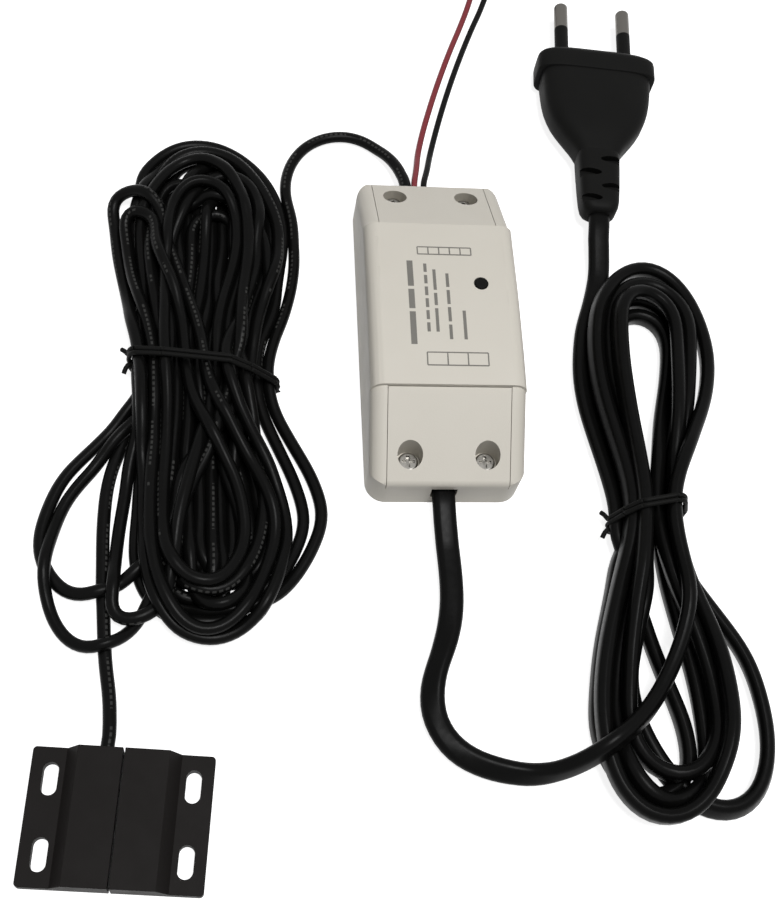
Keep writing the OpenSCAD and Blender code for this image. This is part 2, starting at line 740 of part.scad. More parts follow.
module varistor() {
    disc_d = 7;
    disc_t = 3.2;
    color([0.15, 0.28, 0.55]) on_board(varistor_at)
        translate([0, disc_t / 2, disc_d / 2 + 0.4]) rotate([90, 0, 0]) {
            cylinder(d = disc_d, h = disc_t);
            for (x = [-1, 1])
                translate([x * 1.6, -disc_d / 2 - 0.4, disc_t / 2])
                    rotate([-90, 0, 0]) cylinder(d = 0.8, h = disc_d / 2);
        }
}
module radio_module() {
    card_t = 0.8;
    shield_h = 2.2;
    color([0.08, 0.22, 0.16]) on_board(radio_at) {
        translate([-radio_w / 2, -radio_l / 2, 0]) cube([radio_w, radio_l, card_t]);
        translate([-radio_w / 2 + 1, -radio_l / 2 + 1, card_t - 0.01])
            cube([radio_w - 5, radio_l - 2, shield_h]);
    }
}
switch_side = 6;
switch_h = 3.5;
stem_depth = 1.8;
module tact_switch() {
    color([0.12, 0.12, 0.12]) on_board([button_x, button_y]) difference() {
        translate([-switch_side / 2, -switch_side / 2, 0]) cube([switch_side, switch_side, switch_h]);
        translate([0, 0, switch_h - stem_depth])
            cylinder(d = button_d + 2 * button_clear, h = switch_h);
    }
}
module button_stem() {
    low = board_top + switch_h - stem_depth + button_travel + 0.2;
    top = box_h - arch_r + sqrt(pow(arch_r, 2) - pow(button_y, 2)) + button_proud;
    crown = 0.4;
    color(soft_black) rotate(box_turn) translate([button_x, button_y, low])
        rotate_extrude() {
            square([button_d / 2, top - low - crown]);
            square([button_d / 2 - crown, top - low]);
            translate([button_d / 2 - crown, top - low - crown]) circle(crown);
        }
}
module status_led() {
    lens_d = 3;
    color([0.75, 0.85, 0.95]) on_board(led_at) {
        cylinder(d = lens_d + 0.6, h = 1);
        cylinder(d = lens_d, h = 3.4);
        translate([0, 0, 3.4]) intersection() {
            sphere(d = lens_d);
            translate([0, 0, lens_d / 2]) cube(lens_d, center = true);
        }
    }
}

// Terminal blocks: wire entries face the end of the box, clamping screws stand on top
clamp_screw_d = 2.6;
clamp_screw_l = 3;
module terminal_block(y, w, poles, end, entry_d) {
    color([0.18, 0.45, 0.25]) on_board([0, y]) difference() {
        translate([-w / 2, -terminal_l / 2, 0]) cube([w, terminal_l, terminal_h]);
        for (x = poles) {
            translate([x, 0, terminal_h - clamp_screw_l])
                cylinder(d = clamp_screw_d + 2 * shank_clear, h = terminal_h);
            translate([x, end * terminal_l / 2, entry_z - board_top])
                rotate([90, 0, 0]) cylinder(d = entry_d, h = 2 * entry_depth, center = true);
        }
    }
}
module input_terminal() { terminal_block(input_y, input_w, input_poles, -1, core_d + 0.4); }
module output_terminal() { terminal_block(output_y, output_w, output_poles, 1, wire_d + 0.4); }
module terminal_screws() {
    color(steel) {
        for (x = input_poles) on_board([x, input_y]) clamp_screw();
        for (x = output_poles) on_board([x, output_y]) clamp_screw();
    }
}
module clamp_screw() {
    slit = 0.5;
    translate([0, 0, terminal_h - clamp_screw_l]) difference() {
        cylinder(d = clamp_screw_d, h = clamp_screw_l - 0.4);
        translate([-clamp_screw_d, -slit / 2, clamp_screw_l - 1]) cube([2 * clamp_screw_d, slit, cut]);
    }
}

// Cores inside the box, from the cords' ends to the terminals
mains_core_x = 1.25;
function mains_core_route(side) = [for (p = [
    [mains_x + side * mains_core_x, -jacket_end, mains_exit_z],
    [mains_x + side * mains_core_x, -jacket_end + 2, mains_exit_z],
    [side * 1.9, -jacket_end + 5.2, 6.6], [side * 2.4, -jacket_end + 7.8, 8.4],
    [side * input_pitch / 2, -terminal_edge - 0.6, entry_z],
    [side * input_pitch / 2, -terminal_edge + entry_depth - 0.5, entry_z]]) in_row(p)];
module live_core() {
    color([0.36, 0.20, 0.12]) tube(mains_core_route(1), core_d, core_d, 8);
}
module neutral_core() {
    color([0.15, 0.28, 0.60]) tube(mains_core_route(-1), core_d, core_d, 8);
}
sensor_core_routes = [
    [[sensor_x - 0.65, jacket_end, wire_exit_z], [sensor_x - 0.1, jacket_end - 1.6, 5.8],
        [sensor_x + 0.5, jacket_end - 4.2, 6.8], [sensor_x + 0.2, jacket_end - 7.2, 8.2],
        [output_poles[0], terminal_edge + 0.6, entry_z], [output_poles[0], terminal_edge - 3.5, entry_z]],
    [[sensor_x + 0.65, jacket_end, wire_exit_z], [sensor_x + 1.2, jacket_end - 2, 5.8],
        [sensor_x + 2.1, jacket_end - 4.8, 6.8], [sensor_x + 2.9, jacket_end - 7.6, 8.2],
        [output_poles[1], terminal_edge + 0.6, entry_z], [output_poles[1], terminal_edge - 3.5, entry_z]]
];
module sensor_cores() {
    color([0.80, 0.80, 0.78])
        for (r = sensor_core_routes)
            tube([for (p = r) in_row(p)], thin_core_d, thin_core_d, 8);
}

// Free cords and their bundles
module mains_lead() { color(soft_black) tube(mains_lead_route, mains_w, mains_t, 10, 0, 90, 0.55, 0.9); }
module mains_hank() { color(soft_black) tube(mains_hank_route, mains_t, mains_w, 6); }
module mains_tail() { color(soft_black) tube(mains_tail_route, mains_w, mains_t, 10, 90, 0, 0, 0.33); }
module sensor_lead() { color(soft_black) tube(sensor_lead_route, sensor_d, sensor_d, 8); }
module sensor_hank() { color(soft_black) tube(sensor_hank_route, sensor_d, sensor_d, 6); }
module sensor_tail() { color(soft_black) tube(sensor_tail_route, sensor_d, sensor_d, 8); }
module red_wire() { color([0.70, 0.10, 0.14]) tube(red_wire_route, wire_d, wire_d, 8); }
module red_coil() { color([0.70, 0.10, 0.14]) tube(red_coil_route, wire_d, wire_d, 6); }
module black_wire() { color(soft_black) tube(black_wire_route, wire_d, wire_d, 8); }
module black_coil() { color(soft_black) tube(black_coil_route, wire_d, wire_d, 6); }

// Tie round a waist: a band with its twisted ends beside it
module waist_tie(at, turn, half, low, high) {
    inner = half + tie_clear;
    bottom = low - tie_clear;
    tall = high + tie_clear - bottom;
    twist_d = 2.4;
    color(soft_black)
        translate([at[0], at[1], bottom + tall / 2]) rotate(turn) rotate([90, 0, 0]) {
            linear_extrude(tie_w, center = true) difference() {
                round_rect(2 * (inner + tie_t), tall + 2 * tie_t, 2);
                round_rect(2 * inner, tall, 2 - tie_t);
            }
            translate([-inner - tie_t - twist_d / 2 + 0.3, -tall / 4, 0]) cylinder(d = twist_d, h = 7);
        }
}
module sensor_tie() {
    low = sensor_lift;
    waist_tie(sensor_hank_at, sensor_hank_turn, sensor_waist + sensor_d / 2,
        low, low + sensor_layer + sensor_d);
}
module mains_tie() {
    low = mains_lift;
    waist_tie(mains_hank_at, mains_hank_turn, mains_waist + mains_t / 2,
        low, low + mains_layer + mains_w);
}
// Narrow ties on the wire coils, across the turns farthest from the box
module wire_ties() {
    band = 0.5;
    room = 0.1;
    inner_r = coil_r - coil_step * wire_loops / 2 - wire_d / 2 - room;
    outer_r = coil_r + wire_d / 2 + room;
    low = coil_z - wire_d / 2 - room;
    tall = coil_layer + wire_d + 2 * room;
    color(soft_black)
        for (at = [red_coil_at, black_coil_at])
            translate([at[0], at[1], low]) difference() {
                translate([-1.2, inner_r - band, -band])
                    cube([2.4, outer_r - inner_r + 2 * band, tall + 2 * band]);
                translate([-2, inner_r, 0]) cube([4, outer_r - inner_r, tall]);
            }
}
module stripped_ends() {
    color([0.78, 0.62, 0.45])
        for (r = [red_coil_route, black_coil_route])
            translate(r[len(r) - 1]) rotate([-90, 0, 0]) cylinder(d = stripped_d, h = stripped_l);
}

// Two-pin plug lying on its flat side, pins towards +Y
module plug_body() {
    head_l = 6;
    head_step = 1.4;
    nose_w = 24;
    nose_l = 4;
    grip_w = plug_w - 2 * head_step;
    neck_w = relief_w + 0.6;
    side_r = 3;
    color(soft_black) translate([plug_x, plug_front_y, plug_z]) difference() {
        intersection() {
            linear_extrude(plug_t, center = true) {
                polygon([
                    [-nose_w / 2, 0], [nose_w / 2, 0], [plug_w / 2, -nose_l],
                    [plug_w / 2, -nose_l - head_l], [-plug_w / 2, -nose_l - head_l],
                    [-plug_w / 2, -nose_l]
                ]);
                plug_grip_outline(grip_w, neck_w, nose_l + head_l - cut);
            }
            rotate([90, 0, 0])
                linear_extrude(2 * plug_body_l, center = true)
                    round_rect(plug_w + cut, plug_t, side_r);
            plug_side_taper(nose_l);
        }
        for (x = [-1, 1])
            translate([x * plug_pin_span / 2, cut, 0])
                rotate([90, 0, 0])
                    cylinder(d = sleeve_core_d + 2 * shank_clear, h = pin_root_l + cut);
    }
}
// Plan of the grip: sides that curve in to the neck
module plug_grip_outline(wide, narrow, from) {
    rows = 12;
    function half(t) = narrow / 2 + (wide - narrow) / 2 * (1 - smooth((t - 0.12) / 0.88));
    right = [for (i = [0:rows]) [half(i / rows), -from - (plug_body_l - from) * i / rows]];
    left = [for (i = [rows:-1:0]) [-right[i][0], right[i][1]]];
    polygon(concat(right, left));
}
// Side view of the plug: bevelled at the nose, thick at the head, thinner at the neck
module plug_side_taper(nose_l) {
    nose_t = plug_t * 0.62;
    rotate([90, 0, 90])
        linear_extrude(2 * plug_w, center = true)
            polygon([
                [0, -nose_t / 2], [0, nose_t / 2], [-nose_l, plug_t / 2], [-plug_body_l * 0.45, plug_t / 2],
                [-plug_body_l, relief_t / 2 + 0.4], [-plug_body_l - cut, relief_t / 2 + 0.4],
                [-plug_body_l - cut, -plug_t / 2], [-nose_l, -plug_t / 2]
            ]);
}
// Strain relief with staggered cuts on both sides
module plug_relief() {
    grooves = 4;
    groove_l = 1.5;
    groove_w = relief_w * 0.55;
    groove_t = 1.8;
    pitch = (relief_l - 5) / (grooves - 1);
    color(soft_black) translate([plug_x, plug_back_y, plug_z]) difference() {
        intersection() {
            rotate([90, 0, 0])
                linear_extrude(relief_l) round_rect(relief_w, relief_t, 2.5);
            translate([0, -relief_l / 2, 0])
                linear_extrude(2 * relief_t, center = true) round_rect(relief_w, relief_l + 5, 5);
        }
        for (i = [0:grooves - 1], z = [-1, 1])
            translate([
                (i % 2 == 0 ? 1 : -1) * (relief_w - groove_w) / 2 - groove_w / 2 - 0.01,
                -1.2 - i * pitch - groove_l,
                z > 0 ? relief_t / 2 - groove_t : -relief_t / 2 - cut
            ])
                cube([groove_w + 0.02, groove_l, groove_t + cut]);
    }
}
module plug_pins() {
    tip = 1;
    color(steel)
        for (x = [-1, 1])
            translate([plug_x + x * plug_pin_span / 2, plug_front_y - pin_root_l, plug_z])
                rotate([-90, 0, 0]) {
                    cylinder(d = sleeve_core_d, h = pin_root_l + sleeve_l + cut);
                    translate([0, 0, pin_root_l + sleeve_l])
                        rotate_extrude() {
                            square([plug_pin_d / 2, plug_pin_l - sleeve_l - tip]);
                            square([plug_pin_d / 2 - tip, plug_pin_l - sleeve_l]);
                            translate([plug_pin_d / 2 - tip, plug_pin_l - sleeve_l - tip]) circle(tip);
                        }
                }
}
module pin_sleeves() {
    color(soft_black)
        for (x = [-1, 1])
            translate([plug_x + x * plug_pin_span / 2, plug_front_y, plug_z])
                rotate([-90, 0, 0]) difference() {
                    cylinder(d = plug_pin_d, h = sleeve_l);
                    translate([0, 0, -cut])
                        cylinder(d = sleeve_core_d + 2 * shank_clear, h = sleeve_l + 2 * cut);
                }
}

// Half of the door contact: flange outwards, thick block at the seam; side is -1 or 1 along X
block_at = flange_w + slope_w;
pocket_x = (block_at + half_w) / 2;
module contact_half(side) {
    translate([seam_x + side * half_gap / 2, contact_y, 0]) mirror([side < 0 ? 1 : 0, 0, 0])
        difference() {
            intersection() {
                linear_extrude(block_h) {
                    translate([half_w / 2, 0]) round_rect(half_w, half_l, half_r);
                    translate([0, -half_l / 2]) square([2 * half_r, half_l]);
                }
                rotate([90, 0, 0])
                    linear_extrude(half_l + cut, center = true)
                        polygon([
                            [0, 0], [half_w, 0], [half_w, flange_t], [half_w - flange_w, flange_t],
                            [half_w - block_at, block_h], [0, block_h]
                        ]);
            }
            for (y = [-1, 1])
                translate([half_w - slot_inset, y * slot_span / 2, -cut])
                    linear_extrude(block_h) slot_outline(slot_w, slot_l);
            translate([half_w - pocket_x - pocket_w / 2, -pocket_l / 2, -cut])
                cube([pocket_w, pocket_l, pocket_h + cut]);
        }
}
// Places a child in the pocket of one half, its origin in the middle of the pocket's mouth
module in_pocket(side) {
    translate([seam_x + side * (half_gap / 2 + half_w - pocket_x), contact_y, 0]) children();
}
module switch_housing() {
    color(soft_black) difference() {
        contact_half(-1);
        translate([seam_x - sensor_entry_x, contact_y + half_l / 2 + cut, sensor_entry_z])
            rotate([90, 0, 0]) cylinder(d = sensor_d + 0.2, h = sensor_entry_l + cut);
    }
}
module magnet_housing() { color(soft_black) contact_half(1); }
module reed_switch() {
    lead_d = 0.6;
    color([0.72, 0.82, 0.76]) in_pocket(-1) translate([0, 0, potting_t + reed_d / 2 + 0.1])
        rotate([90, 0, 0]) {
            cylinder(d = reed_d, h = reed_l, center = true);
            cylinder(d = lead_d, h = pocket_l - 2, center = true);
        }
}
module potting(side) {
    in_pocket(side)
        translate([-pocket_w / 2, -pocket_l / 2, 0])
            cube([pocket_w, pocket_l, potting_t]);
}
module reed_potting() { color([0.10, 0.10, 0.11]) potting(-1); }
module magnet_potting() { color([0.10, 0.10, 0.11]) potting(1); }
module bar_magnet() {
    color([0.45, 0.45, 0.47]) in_pocket(1)
        translate([-pocket_w / 2 + part_gap, -pocket_l / 2 + 1, potting_t])
            cube([pocket_w - 2 * part_gap, pocket_l - 2, pocket_h - potting_t - part_gap]);
}

base_tray();
top_shell();
input_cover();
output_cover();
cover_screws();
circuit_board();
relay();
transformer();
bulk_capacitor();
fuse();
varistor();
radio_module();
tact_switch();
status_led();
button_stem();
input_terminal();
output_terminal();
terminal_screws();
live_core();
neutral_core();
sensor_cores();
mains_lead();
mains_hank();
mains_tail();
mains_tie();
plug_body();
plug_relief();
plug_pins();
pin_sleeves();
switch_housing();
reed_switch();
reed_potting();
magnet_housing();
bar_magnet();
magnet_potting();
sensor_lead();
sensor_hank();
sensor_tail();
sensor_tie();
red_wire();
red_coil();
black_wire();
black_coil();
wire_ties();
stripped_ends();
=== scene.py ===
import json
import math

import bmesh
import bpy
import numpy as np
from mathutils import Matrix, Vector


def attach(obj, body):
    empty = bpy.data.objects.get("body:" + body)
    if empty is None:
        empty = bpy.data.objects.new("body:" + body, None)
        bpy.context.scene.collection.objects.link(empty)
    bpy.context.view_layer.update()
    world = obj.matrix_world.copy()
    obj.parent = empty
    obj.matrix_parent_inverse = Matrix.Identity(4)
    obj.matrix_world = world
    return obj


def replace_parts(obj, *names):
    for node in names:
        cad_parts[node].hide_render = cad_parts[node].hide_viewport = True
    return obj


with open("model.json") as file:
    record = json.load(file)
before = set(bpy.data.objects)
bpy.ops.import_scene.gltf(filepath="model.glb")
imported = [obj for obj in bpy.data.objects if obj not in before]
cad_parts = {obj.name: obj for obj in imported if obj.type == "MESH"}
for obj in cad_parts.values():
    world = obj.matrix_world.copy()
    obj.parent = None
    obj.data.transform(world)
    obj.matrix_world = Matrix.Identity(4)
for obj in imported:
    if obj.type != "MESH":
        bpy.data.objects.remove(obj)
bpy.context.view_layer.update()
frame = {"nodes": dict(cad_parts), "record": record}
print("frame loaded")

# Sizes are in millimetres, as in the part's source, and become metres when a mesh is made
mm = 0.001


class Socket:
    # One output of a shader node, with arithmetic that adds Math nodes
    def __init__(self, tree, output):
        self.tree = tree
        self.output = output

    def feed(self, place, value):
        if isinstance(value, Socket):
            self.tree.links.new(value.output, place)
        else:
            place.default_value = value

    def operate(self, operation, *values):
        node = self.tree.nodes.new("ShaderNodeMath")
        node.operation = operation
        for place, value in zip(node.inputs, (self, *values)):
            self.feed(place, value)
        return Socket(self.tree, node.outputs[0])

    def __add__(self, other):
        return self.operate("ADD", other)

    def __sub__(self, other):
        return self.operate("SUBTRACT", other)

    def __rsub__(self, other):
        return self * -1 + other

    def __mul__(self, other):
        return self.operate("MULTIPLY", other)

    __radd__ = __add__
    __rmul__ = __mul__

    def through(self, kind, into, out, settings=None, **inputs):
        # Any other node: its settings first, then this socket and the other values
        node = self.tree.nodes.new("ShaderNode" + kind)
        for key, value in (settings or {}).items():
            setattr(node, key, value)
        if into is not None:
            self.feed(node.inputs[into], self)
        for key, value in inputs.items():
            self.feed(node.inputs[key.replace("_", " ")], value)
        return Socket(self.tree, node.outputs[out])


def newMaterial(name, colour, roughness, metallic=0.0, **constants):
    # Returns the material, its shader and the object coordinates
    material = bpy.data.materials.new(name)
    material.use_nodes = True
    tree = material.node_tree
    shader = tree.nodes["Principled BSDF"]
    shader.inputs["Base Color"].default_value = (*colour, 1)
    shader.inputs["Roughness"].default_value = roughness
    shader.inputs["Metallic"].default_value = metallic
    for key, value in constants.items():
        shader.inputs[key.replace("_", " ")].default_value = value
    place = Socket(tree, tree.nodes.new("ShaderNodeTexCoord").outputs["Object"])
    return material, shader, place


def noise(place, scale, detail=2.0, stretch=(1, 1, 1)):
    stretched = place.through("Mapping", "Vector", "Vector", Scale=stretch)
    return stretched.through("TexNoise", "Vector", "Fac", Scale=scale, Detail=detail)


def mixed(factor, first, second):
    # Two colours, or the outputs of other nodes, blended by a factor that varies
    blend = factor.through("Mix", "Factor", 2, {"data_type": "RGBA"})
    for index, colour in ((6, first), (7, second)):
        blend.feed(blend.output.node.inputs[index], colour if isinstance(colour, Socket) else (*colour, 1))
    return blend


def bumped(place, shader, height, strength, distance):
    bump = height.through("Bump", "Height", "Normal", Strength=strength, Distance=distance)
    place.feed(shader.inputs["Normal"], bump)


def mouldedPlastic(name, colour, other, roughness, grain, strength, gloss=0.5):
    # Moulded plastic: spark-eroded grain, patchy sheen and a faint drift of colour
    material, shader, place = newMaterial(name, colour, roughness, Specular_IOR_Level=gloss)
    place.feed(shader.inputs["Base Color"], mixed(noise(place, 90, 3), colour, other))
    place.feed(shader.inputs["Roughness"], noise(place, 240, 3) * 0.16 + (roughness - 0.08))
    bumped(place, shader, noise(place, grain, 2), strength, 0.0001)
    return material


# Plain dashes along one side of the door contact's cord: counts to the metre, and the shares drawn
cordDashes = {"marks": 710, "markShare": 0.6, "groups": 61, "groupShare": 0.75, "runs": 4.7, "runShare": 0.5,
              "side": 0.63, "half": 0.03, "strength": 0.5, "colour": (0.075, 0.075, 0.072)}


def dashed(place, tone):
    def repeats(count, share):
        return (along * count).operate("FRACT").operate("LESS_THAN", share)

    along = place.through("Attribute", None, "Fac", {"attribute_name": "along"})
    around = place.through("Attribute", None, "Fac", {"attribute_name": "around"})
    marks = repeats(cordDashes["marks"], cordDashes["markShare"])
    groups = repeats(cordDashes["groups"], cordDashes["groupShare"])
    runs = repeats(cordDashes["runs"], cordDashes["runShare"])
    strip = (around - cordDashes["side"]).operate("ABSOLUTE").operate("LESS_THAN", cordDashes["half"])
    return mixed(marks * groups * runs * strip * cordDashes["strength"], tone, cordDashes["colour"])


def jacket(name, colour, other, roughness, gloss=0.5, marked=False):
    # Soft vinyl jacket: smooth, with long shallow ripples and a few scuffs
    material, shader, place = newMaterial(name, colour, roughness, Specular_IOR_Level=gloss)
    tone = mixed(noise(place, 130, 3), colour, other)
    place.feed(shader.inputs["Base Color"], dashed(place, tone) if marked else tone)
    scuffs = noise(place, 700, 4)
    place.feed(shader.inputs["Roughness"], scuffs * 0.22 + (roughness - 0.11))
    bumped(place, shader, noise(place, 260, 2) + scuffs * 0.15, 0.14, 0.0003)
    return material


def plated(name, colour, roughness, stretch):
    # Plated metal with fine drawn lines
    material, shader, place = newMaterial(name, colour, roughness, 1.0)
    lines = noise(place, 900, 3, stretch)
    place.feed(shader.inputs["Roughness"], lines * 0.2 + (roughness - 0.1))
    bumped(place, shader, lines, 0.12, 0.0001)
    return material


def clearGlass(name, colour):
    material, shader, place = newMaterial(name, colour, 0.08, Transmission_Weight=0.85, IOR=1.5)
    place.feed(shader.inputs["Roughness"], noise(place, 400, 2) * 0.08 + 0.04)
    return material


# Plastics: colour, the colour it drifts to, roughness, grain to the metre, grain strength and gloss
plastics = {
    "ivory_case": ("ivoryCase", (0.66, 0.627, 0.555), (0.69, 0.655, 0.585), 0.5, 2600, 0.16, 0.32),
    "board_green": ("boardGreen", (0.02, 0.13, 0.05), (0.03, 0.16, 0.07), 0.4, 900, 0.1),
    "relay_blue": ("relayBlue", (0.02, 0.08, 0.34), (0.03, 0.10, 0.38), 0.3, 1500, 0.08),
    "winding_yellow": ("windingYellow", (0.62, 0.48, 0.08), (0.66, 0.53, 0.12), 0.35, 600, 0.2),
    "sleeve_dark": ("sleeveDark", (0.012, 0.012, 0.03), (0.02, 0.02, 0.045), 0.3, 1500, 0.06),
    "resistor_green": ("resistorGreen", (0.24, 0.36, 0.22), (0.28, 0.40, 0.26), 0.5, 1200, 0.12),
    "black_plastic": ("blackPlastic", (0.0062, 0.0062, 0.006), (0.0088, 0.0088, 0.0084),
                      0.5, 2200, 0.14, 0.045),
    "terminal_green": ("terminalGreen", (0.03, 0.17, 0.06), (0.04, 0.20, 0.08), 0.42, 1800, 0.1),
    "contact_black": ("contactBlack", (0.0098, 0.0087, 0.0083), (0.0138, 0.0123, 0.0118),
                      0.52, 2400, 0.16, 0.05),
    "potting_black": ("pottingBlack", (0.014, 0.014, 0.016), (0.02, 0.02, 0.022), 0.3, 500, 0.2),
}
# Jackets: colour, the colour it drifts to, roughness and gloss
jackets = {
    "core_brown": ("coreBrown", (0.11, 0.035, 0.014), (0.13, 0.045, 0.02), 0.4),
    "core_blue": ("coreBlue", (0.02, 0.07, 0.30), (0.03, 0.09, 0.34), 0.4),
    "core_white": ("coreWhite", (0.60, 0.60, 0.57), (0.66, 0.66, 0.63), 0.4),
    "black_cord": ("blackCord", (0.0026, 0.0026, 0.0025), (0.004, 0.004, 0.0039), 0.31, 0.055),
    "wire_red": ("wireRed", (0.215, 0.034, 0.042), (0.26, 0.046, 0.055), 0.38, 0.14),
    "wire_black": ("wireBlack", (0.004, 0.004, 0.0039), (0.006, 0.006, 0.0058), 0.32, 0.08),
}
# Metals: colour, roughness and how the drawn lines are stretched
metals = {
    "bright_steel": ("brightSteel", (0.28, 0.27, 0.25), 0.3, (1, 1, 1)),
    "shield_metal": ("shieldMetal", (0.56, 0.57, 0.56), 0.35, (6, 1, 1)),
    "pin_nickel": ("pinNickel", (0.135, 0.128, 0.117), 0.36, (1, 0.08, 1)),
    "magnet_grey": ("magnetGrey", (0.18, 0.18, 0.19), 0.5, (1, 1, 1)),
    "bare_copper": ("bareCopper", (0.66, 0.44, 0.28), 0.34, (1, 0.1, 1)),
}
glasses = {
    "lens_clear": ("lensClear", (0.75, 0.85, 0.95)),
    "reed_glass": ("reedGlass", (0.62, 0.78, 0.70)),
}
materials = {}
for maker, finishes in ((mouldedPlastic, plastics), (jacket, jackets),
                        (plated, metals), (clearGlass, glasses)):
    for slotName, values in finishes.items():
        materials[slotName] = maker(*values)
labelInk = mouldedPlastic("labelInk", (0.17, 0.165, 0.15), (0.23, 0.22, 0.20), 0.6, 3000, 0.1, 0.2)
printedCord = jacket("printedCord", (0.0026, 0.0026, 0.0025), (0.004, 0.004, 0.0039), 0.31, 0.06, True)
print("materials made")


def newObject(name, data):
    piece = bpy.data.objects.new(name, data)
    bpy.context.scene.collection.objects.link(piece)
    return piece


def addPiece(piece, body, slotName, finish=None):
    # Applies the modifiers, then gives the plain mesh its finish and the body that it rides on
    graph = bpy.context.evaluated_depsgraph_get()
    mesh = bpy.data.meshes.new_from_object(piece.evaluated_get(graph), preserve_all_data_layers=True,
                                           depsgraph=graph)
    piece.modifiers.clear()
    piece.data = mesh
    mesh.materials.clear()
    mesh.materials.append(finish or materials[slotName])
    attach(piece, body)
    return piece


def turned(points, degrees, centre):
    angle = math.radians(degrees)
    across, along = math.cos(angle), math.sin(angle)
    return [(x * across - y * along + centre[0], x * along + y * across + centre[1], z) for x, y, z in points]


# The relay box: its turn on the table, its lid and where the cords' jackets end inside it
box = {"turn": 4.8, "height": 24, "archRadius": 265, "jacketEnd": 41.2}


def inBox(points):
    return turned(points, box["turn"], (0, 0))


def exitPoint(place):
    # A cord's place in the wall of the box, in metres
    return tuple(c * mm for c in inBox([place])[0])


def smoothed(points, step):
    # One smooth curve through the points, cut into equal steps
    points = np.array(points, float)
    ends = np.vstack([2 * points[0] - points[1], points, 2 * points[-1] - points[-2]])
    fine = []
    for a, b, c, d in zip(ends, ends[1:], ends[2:], ends[3:]):
        for t in np.linspace(0, 1, 16, endpoint=False):
            fine.append(0.5 * (2 * b + (c - a) * t + (2 * a - 5 * b + 4 * c - d) * t ** 2
                               + (3 * b - a - 3 * c + d) * t ** 3))
    fine = np.array(fine + [points[-1]])
    along = np.concatenate([[0], np.cumsum(np.linalg.norm(np.diff(fine, axis=0), axis=1))])
    places = np.linspace(0, along[-1], round(along[-1] / step) + 1)
    return np.stack([np.interp(places, along, fine[:, k]) for k in range(3)], axis=1)


def pathLength(path):
    return float(np.linalg.norm(np.diff(path, axis=0), axis=1).sum()) * mm


def lobe(side, first, shape, last, height, bend):
    # Half a loop: out from the waist by one shoulder, round the tip and back by the other;
    # the round end is as deep as the bend of the cord allows
    out, back, tip, reach = shape
    middle, half = (out + back) / 2, abs(out - back) / 2
    depth = min(0.38 * reach, max(half, half * half / bend))
    lean = max(-0.5 * half, min(0.5 * half, tip - middle))
    widest = reach - depth
    points = []
    for part in (0, 0.25, 0.5, 0.75):
        ease = part * part * (3 - 2 * part)
        points.append((first + (out - first) * ease, side * widest * part, height))
    for angle in range(0, 181, 20):
        a = math.radians(angle)
        points.append((middle + (out - middle) * math.cos(a) + lean * math.sin(a),
                       side * (widest + depth * math.sin(a)), height))
    for part in (0.75, 0.5, 0.25):
        ease = part * part * (3 - 2 * part)
        points.append((last + (back - last) * ease, side * widest * part, height))
    return points


def inHank(path, hank):
    # Across, along and height in a hank's own frame
    centre = hank["centre"]
    moved = [(x - centre[0], y - centre[1], z) for x, y, z in path]
    return np.array(turned(moved, -hank["turn"], (0, 0)))


def blurred(values, times):
    for _ in range(times):
        padded = np.vstack([values[:1], values, values[-1:]])
        values = 0.25 * padded[:-2] + 0.5 * padded[1:-1] + 0.25 * padded[2:]
    return values


# How strands settle: rounds, the sink and the spring back home in each, the largest push,
# the length over which a held end lets go, and the tie's room under the waist
settling = {"rounds": 160, "sink": 0.06, "spring": 0.985, "push": 0.8, "letGo": 12,
            "tieRoom": 1.3, "tieReach": 9}


def settled(route, cord, hank):
    # Pushes crossing strands apart and lets them sink to the floor, or to the tie at the waist;
    # only smooth moves away from the route are kept
    width, height, held = cord["room"], cord["roomUp"], cord["held"]
    home = blurred(route, 6)
    home[:held], home[-held:] = route[:held], route[-held:]
    path = home.copy()
    step = np.linalg.norm(path[1] - path[0])
    apart = int(2.5 * width / step) + 1
    squash = np.array([1, 1, width / height])
    ends = np.minimum(np.arange(len(path)), np.arange(len(path))[::-1]) - held
    loose = np.clip(ends * step / settling["letGo"], 0, 1)[:, None]
    waist = np.exp(-(inHank(home, hank)[:, 1] / settling["tieReach"]) ** 2)
    lowest = height / 2 + settling["tieRoom"] * waist
    for turn in range(settling["rounds"]):
        if turn % 4 == 0:
            flat = (path * squash).astype(np.float32)
            square = (flat ** 2).sum(1)
            far = square[:, None] + square[None, :] - 2 * flat @ flat.T
            first, second = np.nonzero(np.triu(far < (1.3 * width) ** 2, apart))
        gap = (path[first] - path[second]) * squash
        overlap = np.clip(width - np.linalg.norm(gap, axis=1), 0, settling["push"])[:, None]
        lean = gap * np.array([0.6, 0.6, 1.6])
        lean /= np.maximum(np.linalg.norm(lean, axis=1), 1e-6)[:, None]
        push = 0.5 * overlap * lean / squash
        move = np.zeros_like(path)
        touching = np.zeros(len(path))
        for rows, sign in ((first, 1), (second, -1)):
            np.add.at(move, rows, sign * push)
            np.add.at(touching, rows, overlap[:, 0] > 0)
        move /= np.maximum(1, 0.6 * touching)[:, None]
        move[:, 2] -= settling["sink"]
        away = blurred(path - home + move * loose, 2) * loose
        away[:, :2] *= settling["spring"]
        path = home + away
        path[:, 2] = np.where(loose[:, 0] > 0, np.maximum(path[:, 2], lowest), path[:, 2])
    return path


def drawnIn(path, hank):
    # The tie draws the strands together at the waist
    local = inHank(path, hank)
    near = np.abs(local[:, 0]) < hank["drawWithin"]
    local[:, 0] *= 1 - hank["drawShare"] * near * np.exp(-(local[:, 1] / hank["drawReach"]) ** 2)
    return np.array(turned(local, hank["turn"], hank["centre"]))


def slowRoll(place, rolls):
    # Degrees that a cord turns about its own line: a sum of slow waves, each (degrees, length, phase)
    return sum(degrees * np.sin(place / length + phase) for degrees, length, phase in rolls)


